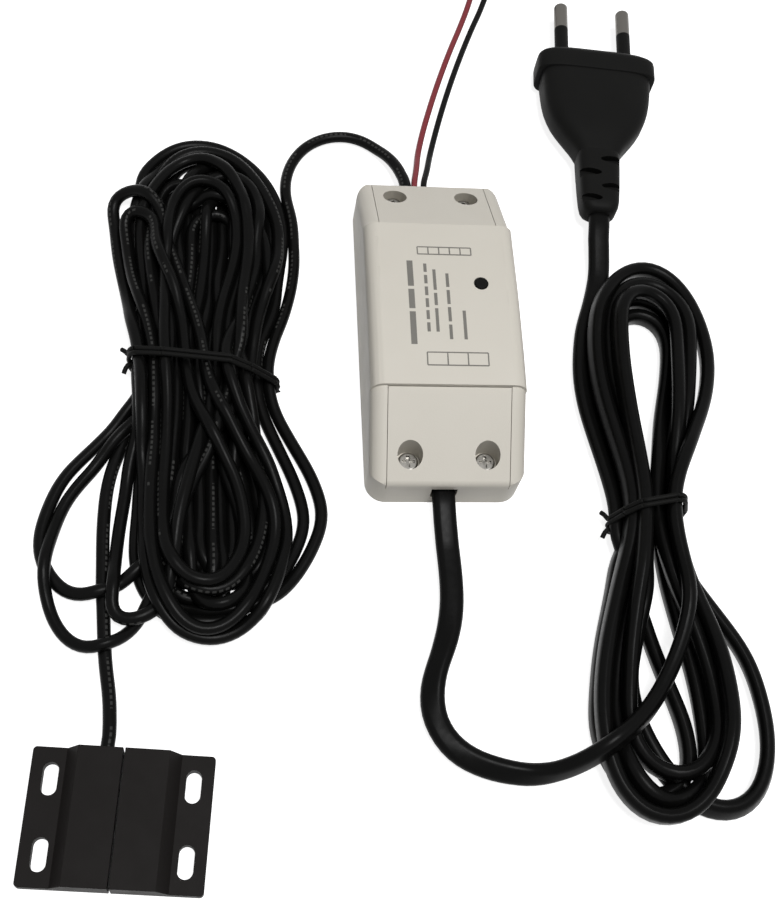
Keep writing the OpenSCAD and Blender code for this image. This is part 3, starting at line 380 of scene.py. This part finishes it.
def sweepGroup(name, normalMode):
    # Sweeps a rounded oblong along a line of points; the attribute "roll" turns it about the line,
    # and the attributes "along" and "around" give a finish its place on the surface
    group = bpy.data.node_groups.new(name, "GeometryNodeTree")
    face = group.interface
    face.new_socket("Geometry", in_out="INPUT", socket_type="NodeSocketGeometry")
    for label, kind in (("Width", "NodeSocketFloat"), ("Thickness", "NodeSocketFloat"),
                        ("Corner", "NodeSocketFloat"), ("Material", "NodeSocketMaterial")):
        face.new_socket(label, in_out="INPUT", socket_type=kind)
    face.new_socket("Geometry", in_out="OUTPUT", socket_type="NodeSocketGeometry")
    nodes = {}
    for key, kind in (
            ("given", "NodeGroupInput"), ("line", "GeometryNodeMeshToCurve"),
            ("travel", "GeometryNodeSplineParameter"), ("along", "GeometryNodeStoreNamedAttribute"),
            ("normal", "GeometryNodeSetCurveNormal"), ("roll", "GeometryNodeInputNamedAttribute"),
            ("tilt", "GeometryNodeSetCurveTilt"), ("oblong", "GeometryNodeCurvePrimitiveQuadrilateral"),
            ("round", "GeometryNodeFilletCurve"), ("turn", "GeometryNodeSplineParameter"),
            ("around", "GeometryNodeStoreNamedAttribute"), ("tube", "GeometryNodeCurveToMesh"),
            ("shade", "GeometryNodeSetShadeSmooth"), ("real", "GeometryNodeRealizeInstances"),
            ("paint", "GeometryNodeSetMaterial"), ("result", "NodeGroupOutput")):
        nodes[key] = group.nodes.new(kind)
    nodes["normal"].mode = normalMode
    for key in ("along", "around"):
        nodes[key].data_type = "FLOAT"
        nodes[key].domain = "POINT"
        nodes[key].inputs["Name"].default_value = key
    nodes["roll"].data_type = "FLOAT"
    nodes["roll"].inputs["Name"].default_value = "roll"
    nodes["round"].mode = "POLY"
    nodes["round"].inputs["Count"].default_value = 4
    nodes["round"].inputs["Limit Radius"].default_value = True
    nodes["tube"].inputs["Fill Caps"].default_value = True
    for start, out, end, into in (
            ("given", "Geometry", "line", "Mesh"), ("line", "Curve", "along", "Geometry"),
            ("travel", "Length", "along", "Value"), ("along", "Geometry", "normal", "Curve"),
            ("normal", "Curve", "tilt", "Curve"), ("roll", "Attribute", "tilt", "Tilt"),
            ("given", "Width", "oblong", "Width"), ("given", "Thickness", "oblong", "Height"),
            ("oblong", "Curve", "round", "Curve"), ("given", "Corner", "round", "Radius"),
            ("round", "Curve", "around", "Geometry"), ("turn", "Factor", "around", "Value"),
            ("tilt", "Curve", "tube", "Curve"), ("around", "Geometry", "tube", "Profile Curve"),
            ("tube", "Mesh", "shade", "Geometry"), ("shade", "Geometry", "real", "Geometry"),
            ("real", "Geometry", "paint", "Geometry"), ("given", "Material", "paint", "Material"),
            ("paint", "Geometry", "result", "Geometry")):
        group.links.new(nodes[start].outputs[out], nodes[end].inputs[into])
    return group


sweepLevel = sweepGroup("sweepLevel", "Z_UP")
sweepFree = sweepGroup("sweepFree", "MINIMUM_TWIST")


def swept(name, path, width, thickness, slotName, roll=None, group=sweepLevel, finish=None):
    # A cord's surface along its path, in millimetres
    mesh = bpy.data.meshes.new(name)
    mesh.from_pydata((np.asarray(path) * mm).tolist(), [(i, i + 1) for i in range(len(path) - 1)], [])
    if roll is not None:
        mesh.attributes.new("roll", "FLOAT", "POINT").data.foreach_set("value", np.radians(roll))
    piece = newObject(name, mesh)
    modifier = piece.modifiers.new("sweep", "NODES")
    modifier.node_group = group
    given = {"Width": width * mm, "Thickness": thickness * mm,
             "Corner": min(width, thickness) * 0.499 * mm, "Material": materials[slotName]}
    for item in group.interface.items_tree:
        if item.in_out == "INPUT" and item.name in given:
            modifier[item.identifier] = given[item.name]
    return addPiece(piece, "controller", slotName, finish)


# Door contact's cord: its section, its way out of the box, the room that a strand takes, the points held
# at each end, the bend that rounds its loops and its slow roll
sensorCord = {"width": 3.2, "thickness": 2.9, "step": 1.5, "exit": (-5.1, 44, 5.6),
              "room": 3.1, "roomUp": 3.1, "held": 7, "bend": 6, "rolls": ((60, 120, 0), (30, 47, 0))}
# Its hank: the middle, the turn, the slant of the tie, and the tie's distance from the strands
sensorHank = {"centre": (-58.4, -15.5), "turn": 7, "slant": -0.16, "tie": 2.1, "tieUp": 2.1}
contact = {"seam": -66, "y": -125.7, "length": 29.7, "entryX": 4, "entryZ": 3.2}
# Each loop enters at the right of the waist, goes round its lower lobe to the left of the waist
# and back round its upper lobe; a lobe is (shoulder, other shoulder, tip, reach)
sensorLoops = [
    {"enter": 15, "lower": (28, -13, 3, 62), "cross": -10.5, "upper": (-13, 22, 1, 71), "level": 4},
    {"enter": 12.5, "lower": (23.5, -15, -2, 65), "cross": -13.5, "upper": (-15, 19, 1, 69), "level": 4},
    {"enter": 8, "lower": (6, -7, -1, 52), "cross": -4.5, "upper": (-2, 11, 5, 48), "level": 3},
    {"enter": 6, "lower": (17, -5, 6, 64), "cross": 1.5, "upper": (-9.5, 8, 0, 66.5), "level": 2.5},
    {"enter": 4.5, "lower": (13, -3, 6, 56), "cross": -1, "upper": (-11, 5, -4, 58), "level": 3},
    {"enter": 0, "lower": (1, -10, -4, 60), "cross": -6, "upper": (-5, 17, 7, 64), "level": 4},
    {"enter": 5.5, "lower": (11.5, -1, 5, 61), "cross": -3.5, "upper": (0.5, 14.5, 7, 57), "level": 2.5},
    {"enter": 2, "lower": (10, -4, 3, 63), "cross": -2.5, "upper": (2, 13, 8, 54), "level": 4},
    {"enter": 7, "lower": (3.5, -8.5, -2.5, 66), "cross": -8, "upper": (-4, 9.5, 3.5, 61.5), "level": 3},
    {"enter": 9.5, "lower": (14, -11, 0, 59), "cross": -7.5, "upper": (-6, 15, 9, 59), "level": 6.5},
    {"enter": 6.5, "lower": (18.8, -14, 1, 69), "cross": -15, "upper": (-21.5, -9, -19.5, 54), "level": 9},
    {"enter": 1, "lower": (16, -12, -1, 68), "cross": -11.5, "upper": (-18.5, -10, -16, 47), "level": 12},
    {"enter": -3.5, "lower": (9, -11, 0, 58), "cross": -8.5, "upper": (-8, 11, 2, 55), "level": 11},
    {"enter": 3.5, "lower": (-9, -22, -19, 64), "cross": -14, "upper": (-14, 13, 0, 64), "level": 7},
    {"enter": 8, "lower": (-7, -37, -26, 70), "cross": -10, "upper": (-12, 21, 1, 68), "level": 6},
    {"enter": 11, "lower": (-6, -37, -28, 57), "cross": -12.5, "upper": (-11, 18, 4, 52), "level": 4.5},
]
sensorLastEnter = 14


def sensorRoute():
    x, y, z = sensorCord["exit"]
    leadBox = [(x, box["jacketEnd"], z), (x, y, z), (x, y + 3, z)]
    leadFree = [(-10.5, 52, 4.5), (-13.5, 57.5, 3), (-18, 61.8, 2), (-23.5, 64.2, 1.6), (-29, 64, 1.6),
                (-34, 61.8, 1.8), (-38, 58, 2.2), (-40.8, 52.5, 3), (-42, 46.5, 4), (-41.8, 40, 5)]
    leadHank = [(23.6, 44, 5), (24.6, 34, 5), (23, 24, 5), (19, 14, 5), (16.5, 6, 5)]
    turns = []
    for loop, after in zip(sensorLoops, sensorLoops[1:] + [{"enter": sensorLastEnter}]):
        height, bend = loop["level"], sensorCord["bend"]
        turns += lobe(-1, loop["enter"], loop["lower"], loop["cross"], height, bend)
        turns += lobe(1, loop["cross"], loop["upper"], after["enter"], height, bend)
    tailHank = [(14, 15, 2), (4, 6, 1.5), (-5, -1, 1.5), (-13, -9, 1.5), (-19.5, -18, 1.5), (-23, -28, 1.5),
                (-24.2, -40, 1.5), (-24.2, -52, 1.5), (-24, -64, 1.5)]
    tailFree = [(-73, -91, 1.6), (-71, -99, 2.4)]
    entryX = contact["seam"] - contact["entryX"]
    edge = contact["y"] + contact["length"] / 2
    tailEnd = [(entryX, edge + past, contact["entryZ"]) for past in (4, 1, -2.8)]
    # The last loop leaves its upper lobe for the tail before it reaches the waist
    hank = turned(leadHank + turns[:-2] + tailHank, sensorHank["turn"], sensorHank["centre"])
    return inBox(leadBox) + leadFree + hank + tailFree + tailEnd


sensorPath = settled(smoothed(sensorRoute(), sensorCord["step"]), sensorCord, sensorHank)
sensorRoll = slowRoll(np.arange(len(sensorPath)) * sensorCord["step"], sensorCord["rolls"])
sensorPiece = swept("sensorCord", sensorPath, sensorCord["width"], sensorCord["thickness"], "black_cord",
                    sensorRoll, finish=printedCord)
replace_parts(sensorPiece, "sensor_lead", "sensor_hank", "sensor_tail")
exitPoint(sensorCord["exit"])
(sensorPath * mm).tolist()
print("sensor cord", round(pathLength(sensorPath), 3))

# Mains cord: as above, and where it turns from flat to on edge, measured from the box and from the plug
mainsCord = {"width": 5.8, "thickness": 3.5, "step": 2, "exit": (-0.5, -44, 5.3),
             "room": 3.7, "roomUp": 5.6, "held": 6, "bend": 8,
             "rolls": ((8, 37, 2.6), (8, 61, 2)), "onEdge": 80, "fromBox": (62, 32), "fromPlug": (40, 70),
             "twist": 38, "twistAt": 46, "twistLength": 9}
# Its hank also has how far the tie draws the strands in, and where
mainsHank = {"centre": (54.5, -46), "turn": -1.5, "slant": 0.22, "tie": 2.4, "tieUp": 3.3,
             "drawShare": 0.24, "drawReach": 18, "drawWithin": 30}
plug = {"x": 44.5, "front": 97.5, "z": 6.8, "reliefEnd": 42}
# Each loop goes round its upper lobe first
mainsLoops = [
    {"enter": 5.5, "cross": -6, "level": 15,
     "upper": (16.6, -13.4, 1.2, 73), "lower": (-12.6, 16.4, 1.5, 73.5)},
    {"enter": 7.4, "cross": -4, "level": 12,
     "upper": (8.6, -9.2, -0.4, 64), "lower": (-6.2, 15, 5, 64)},
    {"enter": 3.2, "cross": -1.5, "level": 4,
     "upper": (8.2, -9, -0.4, 60.5), "lower": (-5.6, 27.4, 17, 69.5)},
    {"enter": 6.5, "cross": -3, "level": 10,
     "upper": (10.6, -10.4, 0.6, 67.5), "lower": (-9, 13.6, 3, 70.5)},
    {"enter": 4, "cross": -6, "level": 3,
     "upper": (10.4, -12, -0.6, 65.5), "lower": (-12.4, 10.6, 1, 68)},
]
mainsLastEnter = 1


def mainsRoute():
    x, y, z = mainsCord["exit"]
    leadBox = [(x, -box["jacketEnd"], z), (x, y, z), (x, y - 3, z)]
    leadFree = [(4.4, -54, 3.4), (5.8, -64, 2), (6.2, -73, 1.8), (4.6, -82, 1.8), (2, -90, 1.8),
                (2.4, -99, 1.8), (8, -106.5, 1.8), (17, -109.8, 2.2), (26.5, -110.5, 6), (35, -108.5, 12.4),
                (43, -103.5, 16.6), (50.5, -96, 17.2), (56, -87, 16.8), (60, -77, 16), (62, -66, 14)]
    turns = []
    for loop, after in zip(mainsLoops, mainsLoops[1:] + [{"enter": mainsLastEnter}]):
        height, bend = loop["level"], mainsCord["bend"]
        turns += lobe(1, loop["enter"], loop["upper"], loop["cross"], height, bend)
        turns += lobe(-1, loop["cross"], loop["lower"], after["enter"], height, bend)
    tailHank = [(8.4, -52, 3), (5, -43, 3), (1.2, -34, 3), (-2.2, -25, 3), (-4.8, -16, 3), (-6.6, -6, 3),
                (-8.4, 4, 3), (-10.4, 14, 2.6), (-12.8, 24, 2.2), (-14.8, 33, 2), (-15.3, 42, 1.8),
                (-14.2, 51, 1.8), (-12.6, 61, 2.2), (-11.4, 71, 3.2)]
    end = plug["reliefEnd"]
    tailEnd = [(plug["x"], end + past, plug["z"] - sag) for past, sag in ((-8, 1.4), (-2, 0), (3, 0))]
    # The last loop leaves its lower lobe for the tail before its last shoulder
    hank = turned(turns[:-5] + tailHank, mainsHank["turn"], mainsHank["centre"])
    return inBox(leadBox) + leadFree + hank + tailEnd


def mainsRoll(path):
    # Flat where it leaves the box and the plug, on edge in the hank
    place = np.arange(len(path)) * mainsCord["step"]
    start, over = mainsCord["fromBox"]
    rise = np.clip((place - start) / over, 0, 1)
    start, over = mainsCord["fromPlug"]
    fall = np.clip((place[-1] - place - start) / over, 0, 1)
    twist = mainsCord["twist"] * np.exp(-((place - mainsCord["twistAt"]) / mainsCord["twistLength"]) ** 2)
    return np.minimum(rise, fall) * (mainsCord["onEdge"] + slowRoll(place, mainsCord["rolls"])) + twist


mainsPath = drawnIn(settled(smoothed(mainsRoute(), mainsCord["step"]), mainsCord, mainsHank), mainsHank)
mainsPiece = swept("mainsCord", mainsPath, mainsCord["width"], mainsCord["thickness"], "black_cord",
                   mainsRoll(mainsPath))
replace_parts(mainsPiece, "mains_lead", "mains_hank", "mains_tail")
print("mains cord", round(pathLength(mainsPath), 3))

# The ties round the waists: their thickness, the slice of strands that they hold, how far half a turn
# climbs, and the points of each end, measured from where the winding starts and stops
tie = {"width": 1.2, "slice": 2.5, "within": 22, "climb": 0.65, "lowest": 0.7, "step": 0.5,
       "firstEnd": [(-1.3, -2.2, -0.8), (-0.8, -1, -0.3)], "lastEnd": [(-0.9, 0.9, 0.2), (-1.7, 1.8, -0.4)]}


def waistTie(name, path, hank, node):
    # A thin tie drawn twice round the strands that cross the waist, its two ends lying off to the left
    local = inHank(path, hank)
    held = np.abs(local[:, 1] - hank["slant"] * local[:, 0]) < tie["slice"]
    near = local[held & (np.abs(local[:, 0]) < tie["within"])]
    ring = []
    for a in np.linspace(math.pi, 5 * math.pi, 145):
        across, up = math.cos(a), math.sin(a)
        outer = near[np.argmax(near[:, 0] * across + near[:, 2] * up)]
        x = outer[0] + hank["tie"] * across
        y = hank["slant"] * x + tie["climb"] * (a / math.pi - 3)
        ring.append((x, y, max(outer[2] + hank["tieUp"] * up, tie["lowest"])))
    whole = np.vstack([np.add(ring[0], tie["firstEnd"]), ring, np.add(ring[-1], tie["lastEnd"])])
    route = smoothed(turned(whole, hank["turn"], hank["centre"]), tie["step"])
    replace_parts(swept(name, route, tie["width"], tie["width"], "black_plastic", group=sweepFree), node)


waistTie("sensorTie", sensorPath, sensorHank, "sensor_tie")
waistTie("mainsTie", mainsPath, mainsHank, "mains_tie")
print("ties made")

# Red and black wire: the part past the picture is put away in a round coil
wire = {"width": 1.7, "step": 1.2, "exitY": 44, "exitZ": 5.6,
        "coilRadius": 9.5, "coilStep": 2, "coilHeight": 1.35, "loops": 4}
wires = [
    {"name": "redWire", "slot": "wire_red", "end": -2.6, "centre": (1, 134.5), "direction": 1,
     "nodes": ("red_wire", "red_coil"),
     "points": [(-6, 54, 4), (-5.4, 61, 1.8), (-4.2, 69, 0.9), (-2.6, 77, 0.8), (-0.8, 85, 0.8),
                (1.2, 93, 0.8), (3.4, 101, 0.8), (5.8, 109, 0.8), (8, 117, 0.8), (9.8, 125, 1)]},
    {"name": "blackWire", "slot": "wire_black", "end": 0, "centre": (24.5, 134.5), "direction": -1,
     "nodes": ("black_wire", "black_coil"),
     "points": [(-3, 54, 4), (-2, 61, 1.8), (-0.6, 69, 0.9), (1, 77, 0.8), (2.8, 85, 0.8), (4.8, 93, 0.8),
                (7, 101, 0.8), (9.4, 109, 0.8), (12, 117, 0.8), (14.2, 125, 1)]},
]


def wireRoute(points, end, centre, direction):
    # Straight out of the box, along the floor, then a round coil and a short straight end
    turns = []
    for i in range(24 * wire["loops"] + 1):
        u = i / 24
        radius = wire["coilRadius"] - wire["coilStep"] * min(u, wire["loops"] - u)
        rise = min(1, max(0, (u - wire["loops"] / 2 + 0.25) / 0.5))
        a = 2 * math.pi * u
        turns.append((centre[0] + direction * radius * math.cos(a), centre[1] + radius * math.sin(a),
                      wire["coilHeight"] + 2 * rise * rise * (3 - 2 * rise)))
    x = centre[0] + direction * wire["coilRadius"]
    y = wire["exitY"]
    out = inBox([(end, place, wire["exitZ"]) for place in (box["jacketEnd"], y, y + 4)])
    ahead = [(x, centre[1] - 6, wire["coilHeight"]), (x, centre[1] - 1.5, wire["coilHeight"])]
    return out + points + ahead + turns + [(x, centre[1] + 6, turns[-1][2])]


for item in wires:
    route = wireRoute(item["points"], item["end"], item["centre"], item["direction"])
    path = smoothed(route, wire["step"])
    path[:, 2] = np.maximum(path[:, 2], wire["width"] / 2)
    piece = swept(item["name"], path, wire["width"], wire["width"], item["slot"])
    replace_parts(piece, *item["nodes"])
    exitPoint((item["end"], wire["exitY"], wire["exitZ"]))
    print(item["name"], round(pathLength(path), 3))


def softened(node, width, body, slotName):
    # A CAD node's own shape with its sharp edges broken
    mesh = frame["nodes"][node].data.copy()
    work = bmesh.new()
    work.from_mesh(mesh)
    bmesh.ops.remove_doubles(work, verts=work.verts, dist=1e-6)
    bmesh.ops.dissolve_limit(work, angle_limit=math.radians(1.5), verts=work.verts, edges=work.edges)
    for face in work.faces:
        face.smooth = True
    work.to_mesh(mesh)
    work.free()
    if "custom_normal" in mesh.attributes:
        mesh.attributes.remove(mesh.attributes["custom_normal"])
    words = node.split("_")
    piece = newObject(words[0] + "".join(word.title() for word in words[1:]), mesh)
    bevel = piece.modifiers.new("edges", "BEVEL")
    bevel.width = width * mm
    bevel.segments = 2
    bevel.limit_method = "ANGLE"
    bevel.angle_limit = math.radians(30)
    weighted = piece.modifiers.new("normals", "WEIGHTED_NORMAL")
    weighted.weight = 90
    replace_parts(addPiece(piece, body, slotName), node)


# Box and door contact: the width of each broken edge, the body and the finish
brokenEdges = {
    "base_tray": (0.3, "controller", "ivory_case"),
    "top_shell": (0.1, "controller", "ivory_case"),
    "input_cover": (0.04, "controller", "ivory_case"),
    "output_cover": (0.04, "controller", "ivory_case"),
    "cover_screws": (0.12, "controller", "bright_steel"),
    "switch_housing": (0.35, "controller", "contact_black"),
    "magnet_housing": (0.35, "magnet", "contact_black"),
}
for node, values in brokenEdges.items():
    softened(node, *values)
print("box and contact made")

# Sections of the plug from its front: (distance behind it, half width, half thickness, squareness)
plugHead = [(0, 10.4, 3.6, 5), (0.3, 11.1, 4.3, 5), (1, 13, 5.2, 5), (2, 15.2, 6.2, 5), (2.7, 16.5, 6.6, 5),
            (3.3, 17, 6.8, 5), (4.2, 17.15, 6.8, 5), (8.4, 17.15, 6.8, 5), (8.8, 17, 6.7, 5),
            (9, 16.7, 6.4, 5), (9.05, 16, 5.8, 5)]
plugGrip = [(8.5, 15.2, 6, 4.5), (8.8, 15.7, 6.4, 4.5), (11, 15.7, 6.5, 4.3), (14, 15.5, 6.5, 4.1),
            (17, 15.2, 6.45, 3.9), (20, 14.7, 6.4, 3.7), (22.5, 14, 6.3, 3.5), (25, 13, 6.15, 3.4),
            (27, 11.9, 6, 3.3), (29, 10.6, 5.8, 3.2), (31, 9.2, 5.5, 3.2), (32.5, 8.1, 5.2, 3.3),
            (34, 7.1, 4.95, 3.5), (35.2, 6.4, 4.75, 3.8), (36.4, 5.8, 4.5, 4)]
plugNeck = [(35, 5.6, 4.4, 4), (35.6, 5.95, 4.65, 4), (38, 5.9, 4.6, 4.2), (42, 5.8, 4.5, 4.2),
            (47, 5.6, 4.4, 4.2), (51.5, 5.35, 4.3, 4), (53.2, 5.05, 4.15, 4), (54.5, 4.5, 3.8, 3.6),
            (55.2, 3.9, 3.3, 3.2), (55.5, 3.1, 2.6, 3)]
# The neck's slots: (side, distance behind the front), and an oval's place and size
neckSlots = {"places": [(1, 39), (-1, 43.6), (1, 48), (-1, 52)],
             "aside": 4.4, "up": 4.6, "size": (9, 2.3, 4.4)}
sharpAngle = math.radians(40)


def sectionPoint(angle, section):
    back, half, thick, square = section
    x = math.copysign(abs(math.cos(angle)) ** (2 / square), math.cos(angle)) * half
    z = math.copysign(abs(math.sin(angle)) ** (2 / square), math.sin(angle)) * thick
    return (plug["x"] + x) * mm, (plug["front"] - back) * mm, (plug["z"] + z) * mm


def loftedMesh(name, shells):
    # A closed skin over each list of rounded oblong sections
    work = bmesh.new()
    around = 64
    for sections in shells:
        rings = []
        for section in sections:
            angles = [2 * math.pi * k / around for k in range(around)]
            rings.append([work.verts.new(sectionPoint(a, section)) for a in angles])
        for ring, after in zip(rings, rings[1:]):
            for k in range(around):
                work.faces.new((ring[k - 1], ring[k], after[k], after[k - 1]))
        work.faces.new(rings[0])
        work.faces.new(rings[-1][::-1])
    bmesh.ops.recalc_face_normals(work, faces=work.faces)
    for face in work.faces:
        face.smooth = True
    mesh = bpy.data.meshes.new(name)
    work.to_mesh(mesh)
    work.free()
    mesh.set_sharp_from_angle(angle=sharpAngle)
    return mesh


def slotCutter():
    # Oval plugs that cut the neck's staggered slots, right and left by turns, above and below
    work = bmesh.new()
    size = Matrix.Diagonal((*(s * mm for s in neckSlots["size"]), 1))
    for side, back in neckSlots["places"]:
        for up in (-1, 1):
            centre = Vector((plug["x"] + side * neckSlots["aside"], plug["front"] - back,
                             plug["z"] + up * neckSlots["up"])) * mm
            bmesh.ops.create_cone(work, cap_ends=True, segments=32, radius1=0.5, radius2=0.5, depth=1,
                                  matrix=Matrix.Translation(centre) @ size)
    mesh = bpy.data.meshes.new("slotCutter")
    work.to_mesh(mesh)
    work.free()
    return mesh


plugBody = newObject("plugBody", loftedMesh("plugBody", [plugHead, plugGrip]))
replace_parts(addPiece(plugBody, "controller", "black_plastic"), "plug_body")
plugRelief = newObject("plugRelief", loftedMesh("plugRelief", [plugNeck]))
cutter = newObject("slotCutter", slotCutter())
slots = plugRelief.modifiers.new("slots", "BOOLEAN")
slots.object = cutter
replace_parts(addPiece(plugRelief, "controller", "black_plastic"), "plug_relief")
plugRelief.data.set_sharp_from_angle(angle=sharpAngle)
bpy.data.objects.remove(cutter)
exitPoint(mainsCord["exit"])
print("plug made")

# Plain bars where the box carries print. Rows are (place across, half width, start, lengths of the bars),
# and outlined cells are (left, right, near, far, number across)
label = {
    "rows": [(-8.4, 0.75, -12.5, (9, 5.5, 7.5)),
             (-4.6, 0.4, -9, (2.5, 2.5, 2.5, 2.5, 2.5, 2.5)),
             (-2.4, 0.4, -9, (6.5, 3.5, 6)),
             (0.8, 0.4, -11, (4, 4, 4, 4)),
             (4.4, 0.4, -11, (8,))],
    "cells": [(-5.4, 9.6, -18, -14.6, 3), (-6.2, 7.4, 13.4, 15.6, 5)],
    "space": 0.9, "line": 0.16, "sunk": 0.05, "proud": 0.03,
}


def labelStrips():
    strips = []
    for across, half, start, lengths in label["rows"]:
        for length in lengths:
            strips.append((across - half, across + half, start, start + length))
            start += length + label["space"]
    line = label["line"]
    for left, right, near, far, count in label["cells"]:
        for edge in (near, far):
            strips.append((left, right, edge - line, edge + line))
        for k in range(count + 1):
            edge = left + (right - left) * k / count
            strips.append((edge - line, edge + line, near, far))
    return strips


def labelMesh(strips):
    # Thin strips that follow the arch of the lid
    radius = box["archRadius"]
    work = bmesh.new()
    for left, right, near, far in strips:
        rows = []
        for y in np.linspace(near, far, max(2, math.ceil(far - near) + 1)):
            lid = box["height"] - radius + math.sqrt(radius ** 2 - y ** 2)
            low, high = lid - label["sunk"], lid + label["proud"]
            corners = inBox([(left, y, low), (right, y, low), (right, y, high), (left, y, high)])
            rows.append([work.verts.new([c * mm for c in corner]) for corner in corners])
        for row, after in zip(rows, rows[1:]):
            for k in range(4):
                work.faces.new((row[k - 1], row[k], after[k], after[k - 1]))
        work.faces.new(rows[0])
        work.faces.new(rows[-1][::-1])
    bmesh.ops.recalc_face_normals(work, faces=work.faces)
    mesh = bpy.data.meshes.new("labelBars")
    work.to_mesh(mesh)
    work.free()
    return mesh


addPiece(newObject("labelBars", labelMesh(labelStrips())), "controller", "ivory_case", labelInk)

# The other CAD nodes keep their shapes and take the procedural finishes
for part in frame["record"]["subparts"]:
    node = frame["nodes"][part["node"]]
    node.data.materials.clear()
    node.data.materials.append(materials[part["material_slot"]])
print("pieces made")

# The photograph's view, in degrees and millimetres: tilt is off the vertical
view = {"azimuth": 12.408, "tilt": 26.182, "roll": 15.985, "target": (-9.308, -30.621, 0),
        "distance": 339.966, "lens": 54.01, "sensor": 36}
# Floor, world and key light, in metres and watts
studio = {"floorHalf": 3.0, "floorZ": -0.0001, "floorGrey": 0.66, "floorGlow": 0.85, "sky": 0.1,
          "keyPlace": (0.15, -0.16, 1.3), "keySize": 0.5, "keyPower": 14.2}


def addCamera():
    azimuth, tilt, roll = (math.radians(view[k]) for k in ("azimuth", "tilt", "roll"))
    heading = Vector((math.sin(azimuth), math.cos(azimuth), 0))
    ahead = heading * math.sin(tilt) - Vector((0, 0, math.cos(tilt)))
    up = heading * math.cos(tilt) + Vector((0, 0, math.sin(tilt)))
    right = ahead.cross(up)
    across = math.cos(roll) * right + math.sin(roll) * up
    above = -math.sin(roll) * right + math.cos(roll) * up
    data = bpy.data.cameras.new("camera")
    data.sensor_width = view["sensor"]
    data.lens = view["lens"]
    camera = newObject("camera", data)
    turn = Matrix((across, above, -ahead)).transposed().to_4x4()
    camera.matrix_world = Matrix.Translation((Vector(view["target"]) - ahead * view["distance"]) * mm) @ turn
    bpy.context.scene.camera = camera


def seenRays(tree):
    # 1 for what the camera sees, also by reflection or through glass
    rays = tree.nodes.new("ShaderNodeLightPath").outputs
    return sum(Socket(tree, rays["Is " + kind + " Ray"]) for kind in ("Camera", "Glossy", "Transmission"))


def addFloor():
    half, z = studio["floorHalf"], studio["floorZ"]
    mesh = bpy.data.meshes.new("floor")
    corners = [(-half, -half, z), (half, -half, z), (half, half, z), (-half, half, z)]
    mesh.from_pydata(corners, [], [(0, 1, 2, 3)])
    grey = [studio["floorGrey"]] * 3
    material, shader, place = newMaterial("floorWhite", grey, 0.9, Specular_IOR_Level=0.0,
                                          Emission_Strength=studio["floorGlow"])
    place.feed(shader.inputs["Emission Color"], seenRays(material.node_tree))
    mesh.materials.append(material)
    newObject("floor", mesh)


def addWorld():
    world = bpy.data.worlds.new("studio")
    world.use_nodes = True
    tree = world.node_tree
    blend = tree.nodes.new("ShaderNodeMixShader")
    for place, level in ((1, studio["sky"]), (2, 1)):
        background = tree.nodes.new("ShaderNodeBackground")
        background.inputs["Color"].default_value = (1, 1, 1, 1)
        background.inputs["Strength"].default_value = level
        tree.links.new(background.outputs[0], blend.inputs[place])
    seen = seenRays(tree)
    seen.feed(blend.inputs[0], seen)
    tree.links.new(blend.outputs[0], tree.nodes["World Output"].inputs["Surface"])
    bpy.context.scene.world = world


def addKeyLight():
    # A square softbox above the table, facing its middle
    place = Vector(studio["keyPlace"])
    data = bpy.data.lights.new("keySoftbox", "AREA")
    data.shape = "RECTANGLE"
    data.size = data.size_y = studio["keySize"]
    data.energy = studio["keyPower"]
    light = newObject("keySoftbox", data)
    light.matrix_world = Matrix.Translation(place) @ place.to_track_quat("Z", "Y").to_matrix().to_4x4()


addCamera()
addFloor()
addWorld()
addKeyLight()
bpy.context.scene.view_settings.view_transform = "Standard"
print("camera and light set")
